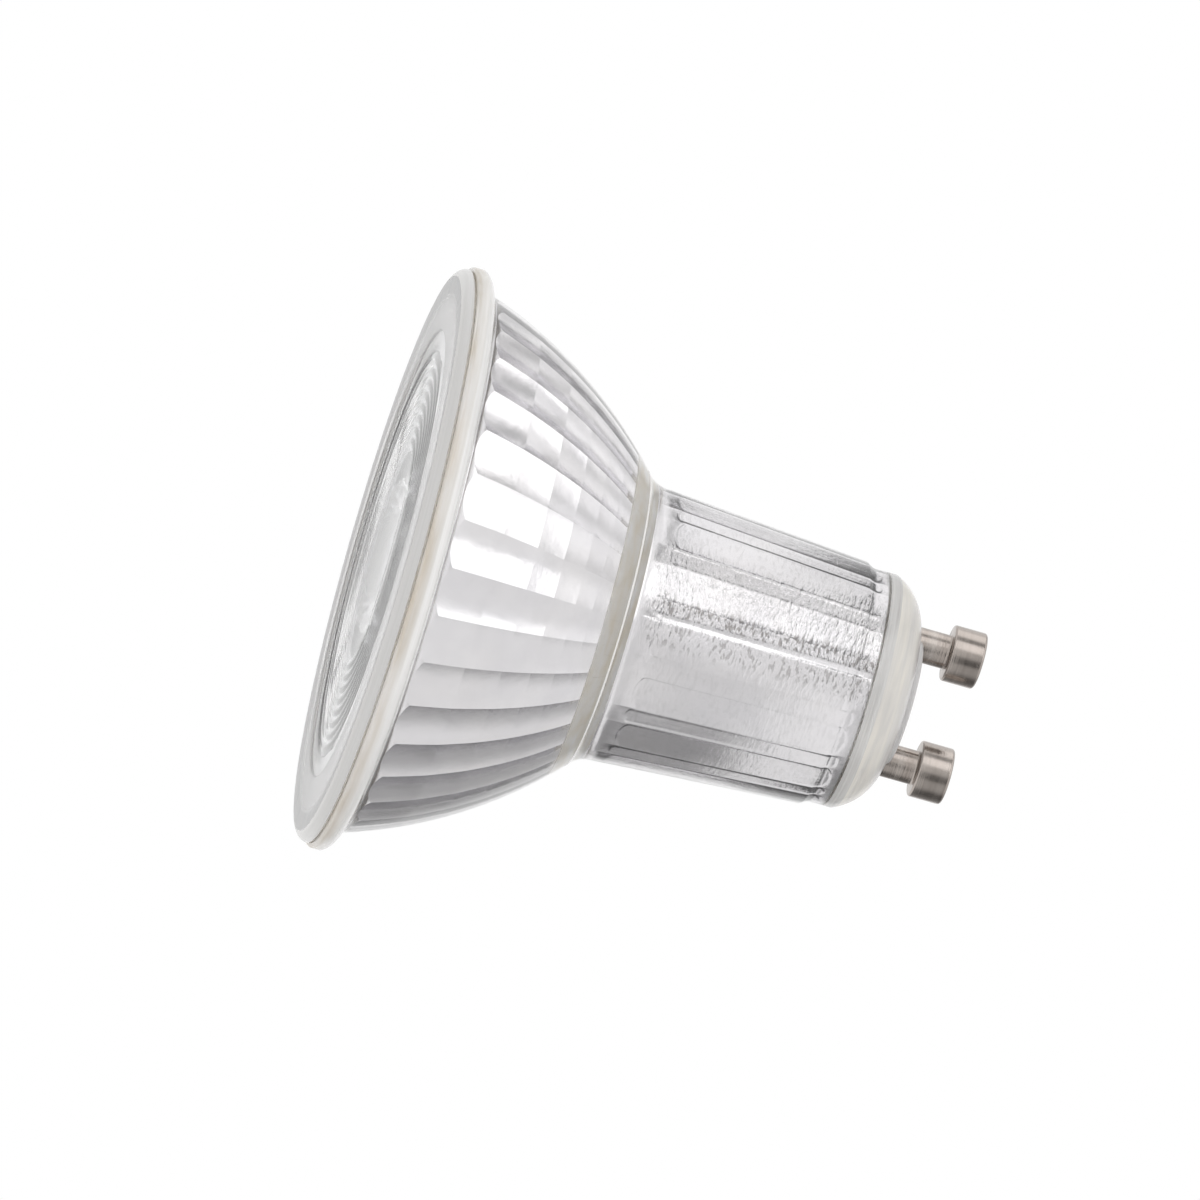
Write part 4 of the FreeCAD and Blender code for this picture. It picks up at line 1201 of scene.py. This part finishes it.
# %% The patches, by the compass direction that they stand in
# Each patch: its bearing, the cosines it fades in between, its light, and the masks that limit it.
PATCHES = (
    # the white card on the left, which whitens the upper half of the bowl
    ((-0.783, -0.622, 0), (0.73, 0.79), 0.66, ("below the top", "over the gap")),
    # the bright strip in the neck, and a dark one beside it
    ((-0.682, -0.731, 0), (0.95, 0.965), 1.0, ("near the floor",)),
    ((-0.94, -0.342, 0), (0.982, 0.992), -0.4, ("near the floor",)),
    # a darker corner for the lowest flutes on the left, and one for the neck on the right
    ((-0.978, 0.208, 0), (0.95, 0.985), -0.22, ("high up",)),
    ((0.7, -0.71, 0), (0.75, 0.92), -0.04, ("near the floor",)),
    # the dark side where the camera stands, the light above and the table below the pins
    ((0.3, -0.954, 0), (0.945, 0.985), -0.42, ("on the pins",)),
    ((-0.985, 0.174, 0), (0.93, 0.98), 0.5, ("on the pins",)),
    ((0.9, -0.43, 0), (0.3, 0.8), -0.2, ("on the pins",)),
)


def studio_masks(tree, direction, rise):
    """Masks by the height of a direction, and one for metal with no glass before it."""
    near_floor = gradient(tree, rise, 0.35, 0.45, 1, 0)
    bare = math_node(tree, "SUBTRACT", 1, is_ray(tree, "Is Transmission Ray"))
    return {
        "near the floor": near_floor,
        "high up": gradient(tree, rise, 0.35, 0.45, 0, 1),
        "over the gap": gradient(tree, rise, 0.48, 0.56, 0, 1),
        "below the top": towards(tree, direction, (0, 0.5, 0.87), 0.608, 0.632, 1, 0),
        "on the pins": times(tree, bare, near_floor),
    }


print("patches in the studio:", len(PATCHES))


# %% The walls of the studio
def studio_walls(tree, direction):
    """How bright the studio is in each direction: grey walls with all the patches added."""
    side, _, rise = place_parts(tree, direction)
    masks = studio_masks(tree, direction, rise)
    flat = node(tree, "ShaderNodeVectorMath", operation="MULTIPLY")
    tree.links.new(direction, flat.inputs[0])
    flat.inputs[1].default_value = (1, 1, 0)
    bearing = node(tree, "ShaderNodeVectorMath", operation="NORMALIZE")
    tree.links.new(flat.outputs[0], bearing.inputs[0])
    gap = times(tree, gradient(tree, rise, 0.33, 0.42, 0, -0.45),
                gradient(tree, rise, 0.48, 0.56, 1, 0), gradient(tree, side, -0.1, 0.15, 1, 0))
    upper = towards(tree, direction, (-0.876, 0.341, 0.341), 0.78, 0.9, 0, 0.3)
    crown = towards(tree, direction, (-0.3, -0.1, 0.95), 0.92, 0.99, 0, 0.2)
    sky = gradient(tree, rise, 0.35, 0.5, 0, 0.1)
    walls = towards(tree, direction, (0.75, 0.6, 0.1), 0.45, 0.85, 0.76, 0.32)
    for patch in (gap, upper, crown, sky):
        walls = math_node(tree, "ADD", walls, patch)
    for aim, cosines, light, limits in PATCHES:
        patch = times(tree, towards(tree, bearing.outputs[0], aim, *cosines, 0, light),
                      *[masks[limit] for limit in limits])
        walls = math_node(tree, "ADD", walls, patch)
    return walls


# %% The world: white for the camera, the studio for mirrors and glass, an even level for the rest
def build_studio():
    """Make the world of the scene."""
    world = bpy.data.worlds.new("studio")
    bpy.context.scene.world = world
    world.use_nodes = True
    tree = world.node_tree
    tree.nodes.clear()
    direction = node(tree, "ShaderNodeTexCoord").outputs["Generated"]
    backdrop = towards(tree, direction, (0, 1, 0.12), 0.8, 0.92, 0, 1)
    even = level(tree, 1.0)
    around_lamp = mix_shaders(tree, backdrop, level(tree, studio_walls(tree, direction)), even)
    lit = mix_shaders(tree, is_ray(tree, "Is Glossy Ray", "Is Transmission Ray"), even, around_lamp)
    shown = mix_shaders(tree, is_ray(tree, "Is Camera Ray"), lit, even)
    tree.links.new(shown, node(tree, "ShaderNodeOutputWorld").inputs["Surface"])
    return world


print("world:", build_studio().name)


# %% One soft light from the upper left
def softbox(name, place, target, size, power):
    """A square area light that looks at a point and isn't mirrored."""
    bpy.ops.object.select_all(action="DESELECT")
    bpy.ops.object.light_add(type="AREA", location=place)
    lamp = bpy.context.object
    lamp.name = name
    lamp.rotation_euler = (Vector(target) - Vector(place)).to_track_quat("-Z", "Y").to_euler()
    lamp.data.size = size
    lamp.data.energy = power
    lamp.visible_glossy = False
    lamp.visible_transmission = False
    return lamp


key = softbox("key_softbox", (-0.5, -0.45, 0.74), (0, 0, 0.02), 0.6, 1.6)
bpy.context.scene.view_settings.view_transform = "Standard"
print("light:", key.name)

# %% [markdown]
# ## The camera
#
# The photograph was taken with a long lens from about seven degrees below the lens face, and the
# camera was rolled, so that the lamp lies with its pins to the right and a little down.

# %% Place the camera
TILT = math.radians(6.9)
ROLL = math.radians(15.85)
DISTANCE = 1.2
FOCAL_LENGTH = 433.5
SENSOR_WIDTH = 36
LOOKS_AT = Vector((-1.3 * MM, 0, 19.0 * MM))

forward = Vector((0, math.cos(TILT), math.sin(TILT)))
along_lamp = Vector((0, -math.sin(TILT), math.cos(TILT)))
up_lamp = Vector((-1, 0, 0))
right = along_lamp * math.cos(ROLL) + up_lamp * math.sin(ROLL)
upward = along_lamp * -math.sin(ROLL) + up_lamp * math.cos(ROLL)
bpy.ops.object.select_all(action="DESELECT")
bpy.ops.object.camera_add()
camera = bpy.context.object
axes = Matrix((right, upward, -forward)).transposed().to_4x4()
camera.matrix_world = Matrix.Translation(LOOKS_AT - forward * DISTANCE) @ axes
camera.data.lens = FOCAL_LENGTH
camera.data.sensor_width = SENSOR_WIDTH
camera.data.clip_end = 10
bpy.context.scene.camera = camera
print("camera at", [round(part, 3) for part in camera.location], "m")
